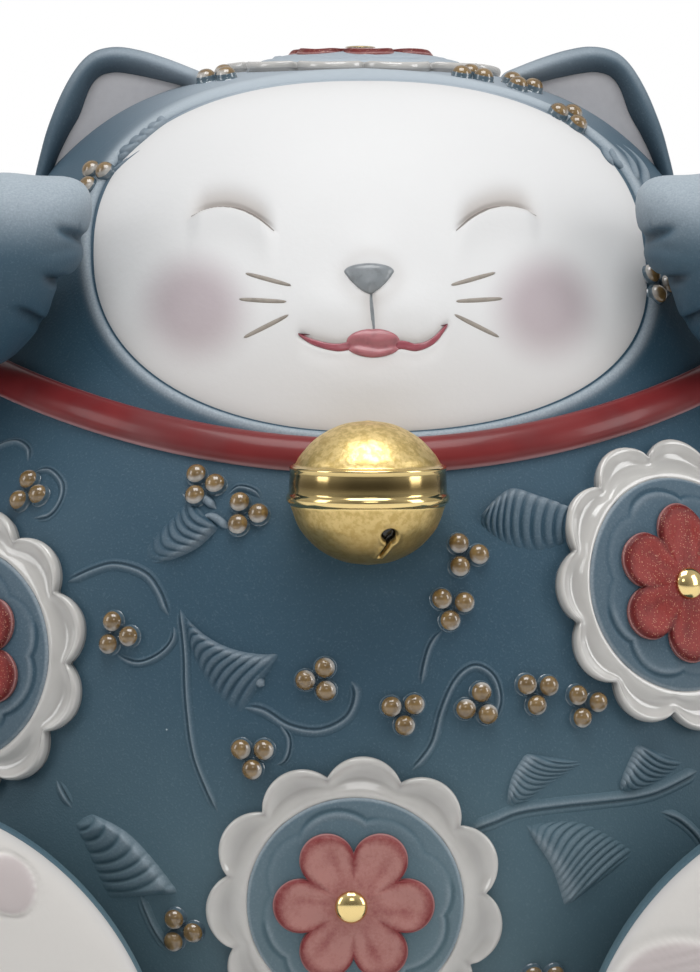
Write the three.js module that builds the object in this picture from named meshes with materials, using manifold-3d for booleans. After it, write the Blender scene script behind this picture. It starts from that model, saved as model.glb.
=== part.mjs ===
// Seated ceramic lucky cat: an egg-shaped hollow body and head in blue bisque, with an inlaid white face,
// ears, two raised arms, two legs with white soles, a collar with a bell, and applied floral ornaments.
// Millimetres, +Z up, front towards -Y, origin on the resting plane under the middle of the cat.
import * as THREE from 'three';
import { mergeVertices } from 'three/addons/utils/BufferGeometryUtils.js';
import Module from 'manifold-3d';

const wasm = await Module();
wasm.setup();

// The skin: one egg that the body and the head share
const HALF_WIDTH = 96;
const FRONT_DEPTH = 84;
const BACK_DEPTH = 80;
const WIDEST_Z = 60;
const CROWN_Z = 188;
const BELLY_REACH = 72;
const BELLY_POWER = 2.4;
const NECK_PINCH = 0.11;
const NECK_AT = 0.75;
const NECK_SPREAD = 0.27;

// Walls and fits
const WALL = 4.5;
const FLOOR = 5;
const SEAT_GAP = 0.35;
const JOINT_GAP = 0.2;
const CUT_GAP = 0.45;
const VENT_RADIUS = 6;
const FOOT_RECESS_RADIUS = 46;
const FOOT_RECESS_DEPTH = 1.5;

// Collar and bell
const COLLAR_FRONT_Z = 123.5;
const COLLAR_RISE = 20;
const COLLAR_HALF_WIDTH = 2.8;
const COLLAR_HEIGHT = 2.6;
const BELL_RADIUS = 13.2;
const BELL_HALF_HEIGHT = 12.2;
const BELL_CENTRE = new THREE.Vector3(-0.5, -83.5, 118.2);

// Face
const FACE_CENTRE = new THREE.Vector3(0.8, 0, 157);
const FACE_HALF_WIDTH = 47.7;
const FACE_HALF_HEIGHT = 29.6;
const FACE_SQUARENESS = 2.3;
const FACE_SEAT_DEPTH = 1.6;

// Limbs
const PAW_RADIUS = 13.3;
const SHOULDER_RADIUS = 16;
const SOLE_CENTRE = new THREE.Vector3(66, -90, 33.8);
const SOLE_LONG = 38;
const SOLE_SHORT = 26;
const SOLE_TILT = THREE.MathUtils.degToRad(50);
const LEG_LENGTH = 46;
const TAIL_RADIUS = 17;
const TAIL_CENTRE = new THREE.Vector3(0, 79.7, 40);

// Ornaments: ring of scallops, domed disc, six-petal flower and stud, stacked with a thin gap
const RING_SCALLOPS = 11;
const RING_CREST = 25.1;
const RING_NOTCH = 22;
const RING_INNER = 18.3;
const RING_TOP = 2.4;
const DISC_RADIUS = 17.9;
const DISC_TOP = 1.9;
const PETALS = 6;
const PETAL_REACH = 13.2;
const PETAL_NOTCH = 8.7;
const FLOWER_BOTTOM = 2.2;
const FLOWER_TOP = 3;
const STUD_RADIUS = 2.7;
const STUD_BOTTOM = 3.3;
const STUD_TOP = 4.5;
const BEAD_RADIUS = 1.9;
const BEAD_TOP = 2.4;
const BEAD_SPREAD = 2.25;
const BEAD_PAD_TOP = 0.95;

// Where the medallions sit: turn from the front in degrees, height, and roll of the flower in degrees
const MEDALLIONS = {
  belly: [-2, 48.5, 0],
  right: [36, 101, 0],
  left: [-47, 88.5, 10],
  crown: [173, 187.8, 15],
  back_left: [-132, 92, 25],
  back_right: [138, 74, 5],
};

// Where the clusters of three beads sit: turn, height and roll
const BEAD_CLUSTERS = [
  [-66, 186.4, 10],
  [-56, 169.5, 30],
  [54, 186.6, 40],
  [63.5, 184.9, 70],
  [57, 179.5, 20],
  [49.5, 151, 115],
  [-41, 116.5, 110],
  [-19, 118.6, 5],
  [-13.6, 114, 0],
  [10.2, 107.2, 0],
  [8.5, 98.5, 20],
  [-27, 93.5, -8],
  [-5.3, 86.5, 63],
  [3.3, 81, 35],
  [11, 82, 76],
  [17.3, 84, 25],
  [22.6, 81.5, 10],
  [-12, 73.5, 30],
  [-19.7, 43.5, -5],
  [18.5, 34.5, 30],
];

const finish = (color, roughness, metalness = 0) =>
  new THREE.MeshStandardMaterial({ color, roughness, metalness });
const BLUE = finish(0x35566b, 0.6);
const PALE_BLUE = finish(0x8fa5b5, 0.6);
const WHITE = finish(0xe9e8e6, 0.5);
const IVORY = finish(0xe6e2dc, 0.2);
const BURGUNDY = finish(0x7a2226, 0.15);
const ROSE = finish(0xb8505a, 0.5);
const DEEP_RED = finish(0x9a1f24, 0.5);
const INLAY = finish(0xc9c3c4, 0.6);
const GOLD = finish(0xc9a13b, 0.2, 1);
const OCHRE = finish(0x9a7438, 0.15);

const cat = new THREE.Group();

function add(name, geometry, material) {
  const mesh = new THREE.Mesh(geometry, material);
  mesh.name = name;
  cat.add(mesh);
}

// ---- the skin ----

// Share of the full width at a height: a flat-topped egg, pinched a little at the neck and temples.
function girth(z) {
  const up = THREE.MathUtils.clamp((z - WIDEST_Z) / (CROWN_Z - WIDEST_Z), 0, 1);
  const down = THREE.MathUtils.clamp((WIDEST_Z - z) / BELLY_REACH, 0, 1);
  const dome = Math.cbrt(1 - up ** 2);
  const bowl = (1 - down ** BELLY_POWER) ** (1 / BELLY_POWER);
  const pinch = 1 - NECK_PINCH * Math.exp(-(((up - NECK_AT) / NECK_SPREAD) ** 4));
  return dome * bowl * pinch;
}

// Height at an angle above the widest ring, and the angle of a height.
function heightOfRise(rise) {
  const reach = rise > 0 ? CROWN_Z - WIDEST_Z : BELLY_REACH;
  return WIDEST_Z + reach * Math.sin(rise);
}

function riseOfHeight(z) {
  const reach = z > WIDEST_Z ? CROWN_Z - WIDEST_Z : BELLY_REACH;
  return Math.asin(THREE.MathUtils.clamp((z - WIDEST_Z) / reach, -1, 1));
}

// Outward normal of the skin at a turn from the front and a height.
function skinNormal(turn, z) {
  const step = 0.02;
  const top = Math.min(z + step, CROWN_Z);
  const size = girth(z);
  if (size < 1e-4) return new THREE.Vector3(0, 0, 1);
  const slope = (girth(top) - girth(z - step)) / (top - z + step);
  const depth = Math.cos(turn) > 0 ? FRONT_DEPTH : BACK_DEPTH;
  const round = new THREE.Vector3(HALF_WIDTH * size * Math.cos(turn), depth * size * Math.sin(turn), 0);
  const upward = new THREE.Vector3(HALF_WIDTH * slope * Math.sin(turn), -depth * slope * Math.cos(turn), 1);
  return round.cross(upward).normalize();
}

// Point of the skin at a turn and a height, lifted along the normal.
function skinPoint(turn, z, lift = 0) {
  const depth = Math.cos(turn) > 0 ? FRONT_DEPTH : BACK_DEPTH;
  const size = girth(z);
  const point = new THREE.Vector3(HALF_WIDTH * size * Math.sin(turn), -depth * size * Math.cos(turn), z);
  return point.addScaledVector(skinNormal(turn, z), lift);
}

function turnOf(point) {
  const depth = point.y < 0 ? FRONT_DEPTH : BACK_DEPTH;
  return Math.atan2(point.x / HALF_WIDTH, -point.y / depth);
}

function isInside(point) {
  const depth = point.y < 0 ? FRONT_DEPTH : BACK_DEPTH;
  return Math.hypot(point.x / HALF_WIDTH, point.y / depth) < girth(point.z);
}

// Height of the collar's middle line: lowest in front, rising round the sides to the nape.
function collarHeight(turn) {
  return COLLAR_FRONT_Z + COLLAR_RISE * (1 - Math.exp(-2 * (1 - Math.cos(turn))));
}

// ---- solids ----

// Drops everything but the positions, joins equal vertices and leaves out collapsed triangles.
function tidy(geometry) {
  const bare = new THREE.BufferGeometry();
  bare.setAttribute('position', geometry.getAttribute('position'));
  bare.setIndex(geometry.getIndex());
  const merged = mergeVertices(bare, 1e-3);
  const index = merged.getIndex().array;
  const kept = [];
  for (let i = 0; i < index.length; i += 3) {
    const [a, b, c] = index.slice(i, i + 3);
    if (a !== b && b !== c && c !== a) kept.push(a, b, c);
  }
  merged.setIndex(kept);
  return merged;
}

function solidOf(geometry) {
  const clean = tidy(geometry);
  const vertProperties = Float32Array.from(clean.getAttribute('position').array);
  const triVerts = Uint32Array.from(clean.getIndex().array);
  return new wasm.Manifold(new wasm.Mesh({ numProp: 3, vertProperties, triVerts }));
}

function geometryOf(solid) {
  const { vertProperties, triVerts } = solid.getMesh();
  const geometry = new THREE.BufferGeometry();
  geometry.setAttribute('position', new THREE.BufferAttribute(vertProperties, 3));
  geometry.setIndex(new THREE.BufferAttribute(triVerts, 1));
  return geometry;
}

// Moves every vertex of a geometry to place(vertex).
function deform(geometry, place) {
  const position = geometry.getAttribute('position');
  const vertex = new THREE.Vector3();
  for (let i = 0; i < position.count; i += 1) {
    vertex.fromBufferAttribute(position, i);
    const moved = place(vertex.clone());
    position.setXYZ(i, moved.x, moved.y, moved.z);
  }
  return geometry;
}

// A lathe whose profile holds [radius, height] pairs, with its axis along Z.
function lathe(profile, segments) {
  const points = profile.map(([radius, height]) => new THREE.Vector2(radius, height));
  return new THREE.LatheGeometry(points, segments).rotateX(Math.PI / 2);
}

// The skin's volume between two heights, each a function of the turn; no upper height closes it at the crown.
function eggSolid({ from, to, lift = 0, segments, rows }) {
  const closesAtCrown = to === undefined;
  const profile = [[0, 0]];
  for (let row = 0; row < rows; row += 1) profile.push([1, row / rows]);
  if (!closesAtCrown) profile.push([1, 1]);
  profile.push([0, 1]);
  const geometry = deform(lathe(profile, segments), (vertex) => {
    const onAxis = Math.hypot(vertex.x, vertex.y) < 0.5;
    const turn = onAxis ? 0 : Math.atan2(vertex.x, -vertex.y);
    const start = riseOfHeight(from(turn));
    const end = closesAtCrown ? Math.PI / 2 : riseOfHeight(to(turn));
    const z = heightOfRise(THREE.MathUtils.lerp(start, end, vertex.z));
    if (!onAxis) return skinPoint(turn, z, lift);
    return new THREE.Vector3(0, 0, closesAtCrown && vertex.z > 0.5 ? CROWN_Z + lift : z);
  });
  return solidOf(geometry);
}

// A frame standing on the skin: its point, with u to the right, v up and the normal outwards.
function anchorAt(turnDegrees, z, rollDegrees = 0) {
  const turn = THREE.MathUtils.degToRad(turnDegrees);
  const point = skinPoint(turn, z);
  const normal = skinNormal(turn, z);
  const right = new THREE.Vector3(Math.cos(turn), Math.sin(turn), 0);
  right.addScaledVector(normal, -right.dot(normal)).normalize();
  const up = normal.clone().cross(right);
  const roll = THREE.MathUtils.degToRad(rollDegrees);
  return { point, normal, right: right.applyAxisAngle(normal, roll), up: up.applyAxisAngle(normal, roll) };
}

// Lays a flat geometry on the skin: x and y run along the frame, z is the distance above the skin.
function layOn(geometry, { point, normal, right, up }) {
  return deform(geometry, (vertex) => {
    const plane = point.clone().addScaledVector(right, vertex.x).addScaledVector(up, vertex.y);
    let outer = -8;
    let inner = 40;
    for (let i = 0; i < 32; i += 1) {
      const middle = (outer + inner) / 2;
      const probe = plane.clone().addScaledVector(normal, -middle);
      if (isInside(probe)) inner = middle;
      else outer = middle;
    }
    plane.addScaledVector(normal, -inner);
    return plane.addScaledVector(skinNormal(turnOf(plane), plane.z), vertex.z);
  });
}

// ---- castings ----

const COLLAR_TURNS = 48;
const envelope = eggSolid({ from: () => 0, lift: CUT_GAP, segments: COLLAR_TURNS, rows: 24 });

// Closed half-round band along the collar line, with a flat back at a height above the skin.
function collarGeometry(halfWidth, height, back, segments, sides) {
  const codedRadius = 10;
  const profile = [];
  for (let side = 0; side <= sides; side += 1) {
    const angle = Math.PI * (side / sides - 0.5);
    profile.push([codedRadius + back + height * Math.cos(angle), halfWidth * Math.sin(angle)]);
  }
  profile.push(profile[0]);
  return deform(lathe(profile, segments), (vertex) => {
    const turn = Math.atan2(vertex.x, -vertex.y);
    const lift = Math.hypot(vertex.x, vertex.y) - codedRadius;
    return skinPoint(turn, collarHeight(turn) + vertex.z, lift);
  });
}

function buildBody() {
  const outer = eggSolid({ from: () => 0, to: (turn) => collarHeight(turn) - JOINT_GAP, segments: 48, rows: 10 });
  const inner = eggSolid({
    from: () => 1,
    to: (turn) => collarHeight(turn) + WALL,
    lift: -WALL,
    segments: 32,
    rows: 6,
  });
  const aboveFloor = solidOf(new THREE.BoxGeometry(300, 300, 300).translate(0, 0, 150 + FLOOR));
  const vent = solidOf(lathe([[0, -1], [VENT_RADIUS, -1], [VENT_RADIUS, 20], [0, 20]], 20));
  const recess = lathe(
    [[0, -1], [FOOT_RECESS_RADIUS, -1], [FOOT_RECESS_RADIUS, FOOT_RECESS_DEPTH], [0, FOOT_RECESS_DEPTH]],
    36,
  );
  const shell = outer.subtract(inner.intersect(aboveFloor)).subtract(vent).subtract(solidOf(recess));
  add('body_casting', geometryOf(shell), BLUE);
}

// Pillow for the face with a superellipse outline: flat bottom at a depth below the skin, and a crowned top.
function facePillow(growth, bottom, top) {
  const profile = [[0, bottom], [0.5, bottom], [1, bottom], ...top];
  const pillow = deform(lathe(profile, 36), (vertex) => {
    const radius = Math.hypot(vertex.x, vertex.y);
    if (radius < 1e-6) return vertex;
    const across = Math.abs(vertex.x / radius) ** FACE_SQUARENESS;
    const upward = Math.abs(vertex.y / radius) ** FACE_SQUARENESS;
    const stretch = (across + upward) ** (-1 / FACE_SQUARENESS);
    return new THREE.Vector3(vertex.x * stretch, vertex.y * stretch, vertex.z);
  }).scale(FACE_HALF_WIDTH + growth, FACE_HALF_HEIGHT + growth, 1);
  return layOn(pillow, {
    point: new THREE.Vector3(FACE_CENTRE.x, -60, FACE_CENTRE.z),
    normal: new THREE.Vector3(0, -1, 0),
    right: new THREE.Vector3(1, 0, 0),
    up: new THREE.Vector3(0, 0, 1),
  });
}

function buildHead() {
  const lowerEdge = (turn) => collarHeight(turn) + JOINT_GAP;
  const outer = eggSolid({ from: lowerEdge, segments: 48, rows: 10 });
  const inner = eggSolid({ from: (turn) => collarHeight(turn) - WALL, lift: -WALL, segments: 32, rows: 7 });
  const pocketBottom = -FACE_SEAT_DEPTH - SEAT_GAP;
  const pocket = solidOf(facePillow(SEAT_GAP, pocketBottom, [[1, 4], [0.5, 6], [0, 6]]));
  add('head_casting', geometryOf(outer.subtract(inner).subtract(pocket)), BLUE);
  const plateTop = [[1, -0.6], [0.94, 0.3], [0.7, 1.1], [0.35, 1.6], [0, 1.8]];
  const belowCollar = solidOf(collarGeometry(COLLAR_HALF_WIDTH + 0.3, 6, 0, 48, 4));
  const plate = solidOf(facePillow(0, -FACE_SEAT_DEPTH, plateTop)).subtract(belowCollar);
  add('face_plate', geometryOf(plate), WHITE);
}

// Rounded triangle of an ear, seen from the front: outer base, tip, inner end, then hidden inside the head.
function earShape(side) {
  const shape = new THREE.Shape();
  shape.moveTo(side * 50, 158);
  shape.lineTo(side * 57, 165.5);
  shape.quadraticCurveTo(side * 54, 181, side * 48.4, 189.3);
  shape.quadraticCurveTo(side * 46.2, 192.2, side * 42, 191.9);
  shape.quadraticCurveTo(side * 36, 191.2, side * 30, 188.4);
  shape.lineTo(side * 30, 178);
  shape.closePath();
  return shape;
}

function inlayShape(side) {
  const shape = new THREE.Shape();
  shape.moveTo(side * 52, 171);
  shape.quadraticCurveTo(side * 49.5, 180.5, side * 45.8, 185.6);
  shape.quadraticCurveTo(side * 44.4, 187.9, side * 41.8, 187.7);
  shape.lineTo(side * 33.5, 186.1);
  shape.lineTo(side * 36, 178);
  shape.closePath();
  return shape;
}

// Extrudes an outline drawn in x and z, from one y backwards.
function standingExtrusion(shape, frontY, depth, bevel) {
  const settings = { depth: depth - 2 * bevel, bevelEnabled: bevel > 0, curveSegments: 5 };
  Object.assign(settings, { bevelThickness: bevel, bevelSize: bevel, bevelOffset: -bevel, bevelSegments: 2 });
  const geometry = new THREE.ExtrudeGeometry(shape, settings).rotateX(Math.PI / 2);
  return geometry.translate(0, frontY + depth - bevel, 0);
}

const EAR_FRONT_Y = -10;
const EAR_THICKNESS = 17;
const EAR_POCKET_DEPTH = 4;

function buildEar(name, side) {
  const block = solidOf(standingExtrusion(earShape(side), EAR_FRONT_Y, EAR_THICKNESS, 2.4));
  const pocket = solidOf(standingExtrusion(inlayShape(side), EAR_FRONT_Y - 1, EAR_POCKET_DEPTH + 1, 0));
  add(`ear_${name}`, geometryOf(block.subtract(envelope).subtract(pocket)), PALE_BLUE);
  const thin = standingExtrusion(inlayShape(side), EAR_FRONT_Y + 1.6, EAR_POCKET_DEPTH - 1.6 - SEAT_GAP, 0);
  const middle = new THREE.Vector3(side * 43.5, 0, 180.5);
  const shrink = 0.94;
  thin.translate(-middle.x, 0, -middle.z).scale(shrink, 1, shrink).translate(middle.x, 0, middle.z);
  add(`ear_inlay_${name}`, geometryOf(solidOf(thin).subtract(envelope)), INLAY);
}

// ---- limbs ----

// A round limb along a curve: thick at the shoulder, closed by a dome at each end.
function limb(curve, startRadius, endRadius, segments, rows) {
  const length = curve.getLength();
  const profile = [[0, 0]];
  for (let row = 1; row < rows; row += 1) profile.push([1, row / rows]);
  profile.push([0, 1]);
  return deform(lathe(profile, segments), (vertex) => {
    const along = -Math.cos(vertex.z * Math.PI) / 2 + 0.5;
    const radius = THREE.MathUtils.lerp(startRadius, endRadius, along);
    const fromStart = Math.min(along * (length + startRadius + endRadius), startRadius);
    const fromEnd = Math.min((1 - along) * (length + startRadius + endRadius), endRadius);
    const startDome = Math.sqrt(1 - (1 - fromStart / startRadius) ** 2);
    const endDome = Math.sqrt(1 - (1 - fromEnd / endRadius) ** 2);
    const reach = along * (length + startRadius + endRadius) - startRadius;
    const onCurve = THREE.MathUtils.clamp(reach / length, 0, 1);
    const tangent = curve.getTangentAt(onCurve);
    const centre = curve.getPointAt(onCurve).addScaledVector(tangent, reach - onCurve * length);
    const sideways = new THREE.Vector3(0, 1, 0).cross(tangent).normalize();
    const across = tangent.clone().cross(sideways);
    const size = radius * startDome * endDome;
    return centre.addScaledVector(sideways, vertex.x * size).addScaledVector(across, vertex.y * size);
  });
}

const collarChannel = solidOf(collarGeometry(COLLAR_HALF_WIDTH + 0.5, COLLAR_HEIGHT + 0.6, 0, 48, 6));

function buildArm(name, side) {
  const route = new THREE.CatmullRomCurve3([
    new THREE.Vector3(side * 82, -8, 100),
    new THREE.Vector3(side * 92, -18, 122),
    new THREE.Vector3(side * 84, -38, 146),
    new THREE.Vector3(side * 60.8, -52, 157.5),
  ]);
  const arm = solidOf(limb(route, SHOULDER_RADIUS, PAW_RADIUS, 16, 12));
  add(`arm_${name}`, geometryOf(arm.subtract(envelope).subtract(collarChannel)), BLUE);
}

// Places a part drawn on the sole's ellipse: x along the foot, y across it, z forwards from the sole's centre.
function onFoot(geometry, side) {
  const along = new THREE.Vector3(side * Math.cos(SOLE_TILT), 0, Math.sin(SOLE_TILT));
  const forward = new THREE.Vector3(0, -1, 0);
  const across = forward.clone().cross(along);
  const placed = new THREE.Matrix4().makeBasis(along, across, forward);
  placed.setPosition(side * SOLE_CENTRE.x, SOLE_CENTRE.y, SOLE_CENTRE.z);
  return geometry.applyMatrix4(placed);
}

function buildLeg(name, side) {
  const barrel = lathe(
    [[0, -1], [0.45, -0.9], [0.78, -0.62], [0.95, -0.3], [1, -0.08], [0.94, 0], [0, 0]],
    24,
  ).scale(SOLE_LONG, SOLE_SHORT, LEG_LENGTH);
  add(`leg_${name}`, geometryOf(solidOf(onFoot(barrel, side)).subtract(envelope)), BLUE);
  const sole = lathe([[0, 0.3], [0.9, 0.3], [0.92, 1.2], [0.8, 3.2], [0.5, 4.6], [0, 5.2]], 24);
  add(`sole_${name}`, onFoot(sole.scale(SOLE_LONG, SOLE_SHORT, 1), side), WHITE);
}

function buildTail() {
  const ball = new THREE.SphereGeometry(TAIL_RADIUS, 18, 12).rotateX(Math.PI / 2);
  ball.translate(TAIL_CENTRE.x, TAIL_CENTRE.y, TAIL_CENTRE.z);
  add('tail', geometryOf(solidOf(ball).subtract(envelope)), BLUE);
}

// ---- collar and bell ----

function buildCollar() {
  add('collar_band', tidy(collarGeometry(COLLAR_HALF_WIDTH, COLLAR_HEIGHT, SEAT_GAP, 48, 5)), BURGUNDY);
}

function buildBell() {
  const profile = [[0, -1]];
  const domeAngles = [-70, -50, -30, -10];
  for (const angle of domeAngles) {
    const radians = THREE.MathUtils.degToRad(angle);
    profile.push([Math.cos(radians), Math.sin(radians)]);
  }
  profile.push([1, 0], [1.05, 0.06], [1.05, 0.16], [0.98, 0.22], [0.87, 0.5], [0.62, 0.79], [0.3, 0.96], [0, 1]);
  const ball = lathe(profile, 20).scale(BELL_RADIUS, BELL_RADIUS, BELL_HALF_HEIGHT);
  ball.translate(BELL_CENTRE.x, BELL_CENTRE.y, BELL_CENTRE.z);
  add('bell', geometryOf(solidOf(ball).subtract(envelope).subtract(collarChannel)), GOLD);
}

// ---- ornaments ----

// A lathed plate whose radii are drawn in between equal lobes; profile radii are shares of the crest.
function lobedPlate(profile, lobes, notch, crest, segments) {
  return deform(lathe(profile, segments), (vertex) => {
    const radius = Math.hypot(vertex.x, vertex.y);
    const angle = Math.atan2(vertex.y, vertex.x);
    const lobe = Math.abs(Math.cos((angle * lobes) / 2)) ** 0.7;
    const edge = (notch + (crest - notch) * lobe) / crest;
    const isRim = radius > notch;
    return isRim ? vertex.multiply(new THREE.Vector3(edge, edge, 1)) : vertex;
  });
}

function buildMedallion(name, [turn, z, roll]) {
  const anchor = anchorAt(turn, z, roll);
  const ringProfile = [
    [RING_INNER, SEAT_GAP],
    [RING_CREST, SEAT_GAP],
    [RING_CREST, RING_TOP],
    [RING_INNER, RING_TOP],
    [RING_INNER, SEAT_GAP],
  ];
  const ring = lobedPlate(ringProfile, RING_SCALLOPS, RING_NOTCH, RING_CREST, 4 * RING_SCALLOPS);
  add(`ring_${name}`, tidy(layOn(ring, anchor)), IVORY);
  const disc = lathe(
    [[0, SEAT_GAP], [9, SEAT_GAP], [DISC_RADIUS, SEAT_GAP], [DISC_RADIUS, 1.1], [9, 1.7], [0, DISC_TOP]],
    18,
  );
  add(`disc_${name}`, tidy(layOn(disc, anchor)), BLUE);
  const flowerProfile = [
    [0, FLOWER_BOTTOM],
    [PETAL_REACH, FLOWER_BOTTOM],
    [PETAL_REACH, FLOWER_TOP],
    [0, FLOWER_TOP],
  ];
  const flower = lobedPlate(flowerProfile, PETALS, PETAL_NOTCH, PETAL_REACH, 4 * PETALS);
  add(`flower_${name}`, tidy(layOn(flower, anchor)), name === 'belly' ? ROSE : DEEP_RED);
  const stud = lathe([[0, STUD_BOTTOM], [STUD_RADIUS, STUD_BOTTOM], [2, 4], [1, 4.4], [0, STUD_TOP]], 8);
  add(`stud_${name}`, tidy(layOn(stud, anchor)), GOLD);
}

function buildBeadCluster(number, [turn, z, roll]) {
  const pad = [[0, SEAT_GAP], [2.6, SEAT_GAP], [2.6, BEAD_PAD_TOP], [0, BEAD_PAD_TOP]];
  let cluster = solidOf(lathe(pad, 6));
  for (let bead = 0; bead < 3; bead += 1) {
    const angle = (bead * 2 * Math.PI) / 3;
    const dome = lathe([[0, SEAT_GAP], [BEAD_RADIUS, SEAT_GAP], [1.5, 1.7], [0, BEAD_TOP]], 6);
    dome.translate(BEAD_SPREAD * Math.cos(angle), BEAD_SPREAD * Math.sin(angle), 0);
    cluster = cluster.add(solidOf(dome));
  }
  const name = `bead_cluster_${String(number + 1).padStart(2, '0')}`;
  add(name, layOn(geometryOf(cluster), anchorAt(turn, z, roll)), OCHRE);
}

buildBody();
buildHead();
for (const [name, side] of [['right', 1], ['left', -1]]) {
  buildEar(name, side);
  buildArm(name, side);
  buildLeg(name, side);
}
buildTail();
buildCollar();
buildBell();
Object.entries(MEDALLIONS).forEach(([name, place]) => buildMedallion(name, place));
BEAD_CLUSTERS.forEach((place, number) => buildBeadCluster(number, place));

export default cat;
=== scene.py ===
"""A seated lucky cat in matt blue bisque with an inlaid white face, a burgundy collar, a gold bell and
applied flowers, beads, leaves and vines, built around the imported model.

Shapes are worked out in millimetres as whole grids of points, and Clay writes them to meshes in metres.
x runs to the right as one faces the cat, y to its back, z up. A turn is an angle round the z axis from
the front, positive to the right.
"""

import math

import bpy
import numpy as np
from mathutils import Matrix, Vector


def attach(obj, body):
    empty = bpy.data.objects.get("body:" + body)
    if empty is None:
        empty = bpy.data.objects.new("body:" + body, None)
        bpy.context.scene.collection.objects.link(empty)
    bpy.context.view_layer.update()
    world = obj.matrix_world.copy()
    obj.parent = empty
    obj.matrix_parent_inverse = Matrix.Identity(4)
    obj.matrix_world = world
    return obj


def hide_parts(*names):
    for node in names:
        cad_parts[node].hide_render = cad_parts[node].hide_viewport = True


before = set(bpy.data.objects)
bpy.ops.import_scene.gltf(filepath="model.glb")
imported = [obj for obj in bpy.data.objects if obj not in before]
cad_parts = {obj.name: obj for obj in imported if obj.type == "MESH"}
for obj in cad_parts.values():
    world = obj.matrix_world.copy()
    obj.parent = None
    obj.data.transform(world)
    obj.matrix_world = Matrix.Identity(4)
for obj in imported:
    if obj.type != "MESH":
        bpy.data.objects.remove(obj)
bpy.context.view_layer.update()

MM = 0.001

# ---- the skin: one egg shared by body and head ----

HALF_WIDTH = 96.0
FRONT_DEPTH = 84.0
BACK_DEPTH = 80.0
WIDEST_Z = 60.0
CROWN_Z = 188.0
BELLY_REACH = 72.0
BELLY_POWER = 2.4
NECK_PINCH = 0.11
NECK_AT = 0.75
NECK_SPREAD = 0.27
WALL = 4.5
FLOOR = 5.0
VENT_RADIUS = 6.0
FOOT_RECESS_RADIUS = 46.0
FOOT_RECESS_DEPTH = 1.5
FOOT_RING_EDGE = 46.6
JOINT_GAP = 0.2

COLLAR_FRONT_Z = 123.5
COLLAR_RISE = 20.0
COLLAR_HALF_WIDTH = 2.8
COLLAR_HEIGHT = 2.6


def girth(z):
    """Share of the full width at a height: the cube root of 1 - up^2, times the belly's superellipse
    (1 - down^p)^(1/p), times 1 minus a flat-topped bump of pinch at the neck."""
    up = np.clip((z - WIDEST_Z) / (CROWN_Z - WIDEST_Z), 0, 1)
    down = np.clip((WIDEST_Z - z) / BELLY_REACH, 0, 1)
    pinch = 1 - NECK_PINCH * np.exp(-(((up - NECK_AT) / NECK_SPREAD) ** 4))
    return np.cbrt(1 - up**2) * (1 - down**BELLY_POWER) ** (1 / BELLY_POWER) * pinch


def depth_at(towards_front):
    return np.where(towards_front > 0, FRONT_DEPTH, BACK_DEPTH)


def skin_normal(turn, z):
    """Unit cross product of the egg's two tangents: round the ring, and up the slope of the girth."""
    step = 0.02
    top = np.minimum(z + step, CROWN_Z)
    size = girth(z)
    slope = (girth(top) - girth(z - step)) / (top - z + step)
    depth = depth_at(np.cos(turn))
    none = np.zeros_like(size * turn)
    around = np.stack([HALF_WIDTH * size * np.cos(turn), depth * size * np.sin(turn), none], -1)
    upwards = np.stack([HALF_WIDTH * slope * np.sin(turn), -depth * slope * np.cos(turn), none + 1], -1)
    normal = np.cross(around, upwards)
    length = np.linalg.norm(normal, axis=-1, keepdims=True)
    return np.where(length > 1e-6, normal / np.maximum(length, 1e-6), np.array([0.0, 0.0, 1.0]))


def skin(turn, z, lift=0.0):
    """(96 g sin t, -depth g cos t, z) with g the girth, moved out along the normal by a lift."""
    turn, z, lift = np.broadcast_arrays(*(np.asarray(a, float) for a in (turn, z, lift)))
    size = girth(z)
    depth = depth_at(np.cos(turn))
    point = np.stack([HALF_WIDTH * size * np.sin(turn), -depth * size * np.cos(turn), z], -1)
    return point + skin_normal(turn, z) * lift[..., None]


def turn_of(point):
    depth = depth_at(-point[..., 1])
    return np.arctan2(point[..., 0] / HALF_WIDTH, -point[..., 1] / depth)


def landed(point, lift):
    """Moves points that are close to the skin onto it, at their own turn and height, then lifts them."""
    return skin(turn_of(point), np.minimum(point[..., 2], CROWN_Z), lift)


def rise_of(z):
    """Angle above the widest ring whose sine, times the reach above or below that ring, is the height."""
    reach = np.where(z > WIDEST_Z, CROWN_Z - WIDEST_Z, BELLY_REACH)
    return np.arcsin(np.clip((z - WIDEST_Z) / reach, -1, 1))


def height_of(rise):
    return WIDEST_Z + np.where(rise > 0, CROWN_Z - WIDEST_Z, BELLY_REACH) * np.sin(rise)


def collar_line(turn):
    """Height of the collar's middle: lowest in front, rising round the sides to the nape."""
    return COLLAR_FRONT_Z + COLLAR_RISE * (1 - np.exp(-2 * (1 - np.cos(turn))))


class Place:
    """A spot on the skin with its own right, up and outward directions, and a roll about the last."""

    def __init__(self, turn, z, roll=0.0):
        turn, roll = math.radians(turn), math.radians(roll)
        self.point = skin(turn, z)
        self.normal = skin_normal(np.float64(turn), np.float64(z))
        flat = np.array([math.cos(turn), math.sin(turn), 0.0])
        flat = flat - self.normal * (flat @ self.normal)
        flat = flat / np.linalg.norm(flat)
        up = np.cross(self.normal, flat)
        self.right = flat * math.cos(roll) + up * math.sin(roll)
        self.up = up * math.cos(roll) - flat * math.sin(roll)

    @classmethod
    def facing_front(cls, x, z):
        made = cls(0.0, z)
        made.point = np.array([x, -60.0, z])
        made.normal = np.array([0.0, -1.0, 0.0])
        made.right, made.up = np.array([1.0, 0.0, 0.0]), np.array([0.0, 0.0, 1.0])
        return made


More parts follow.
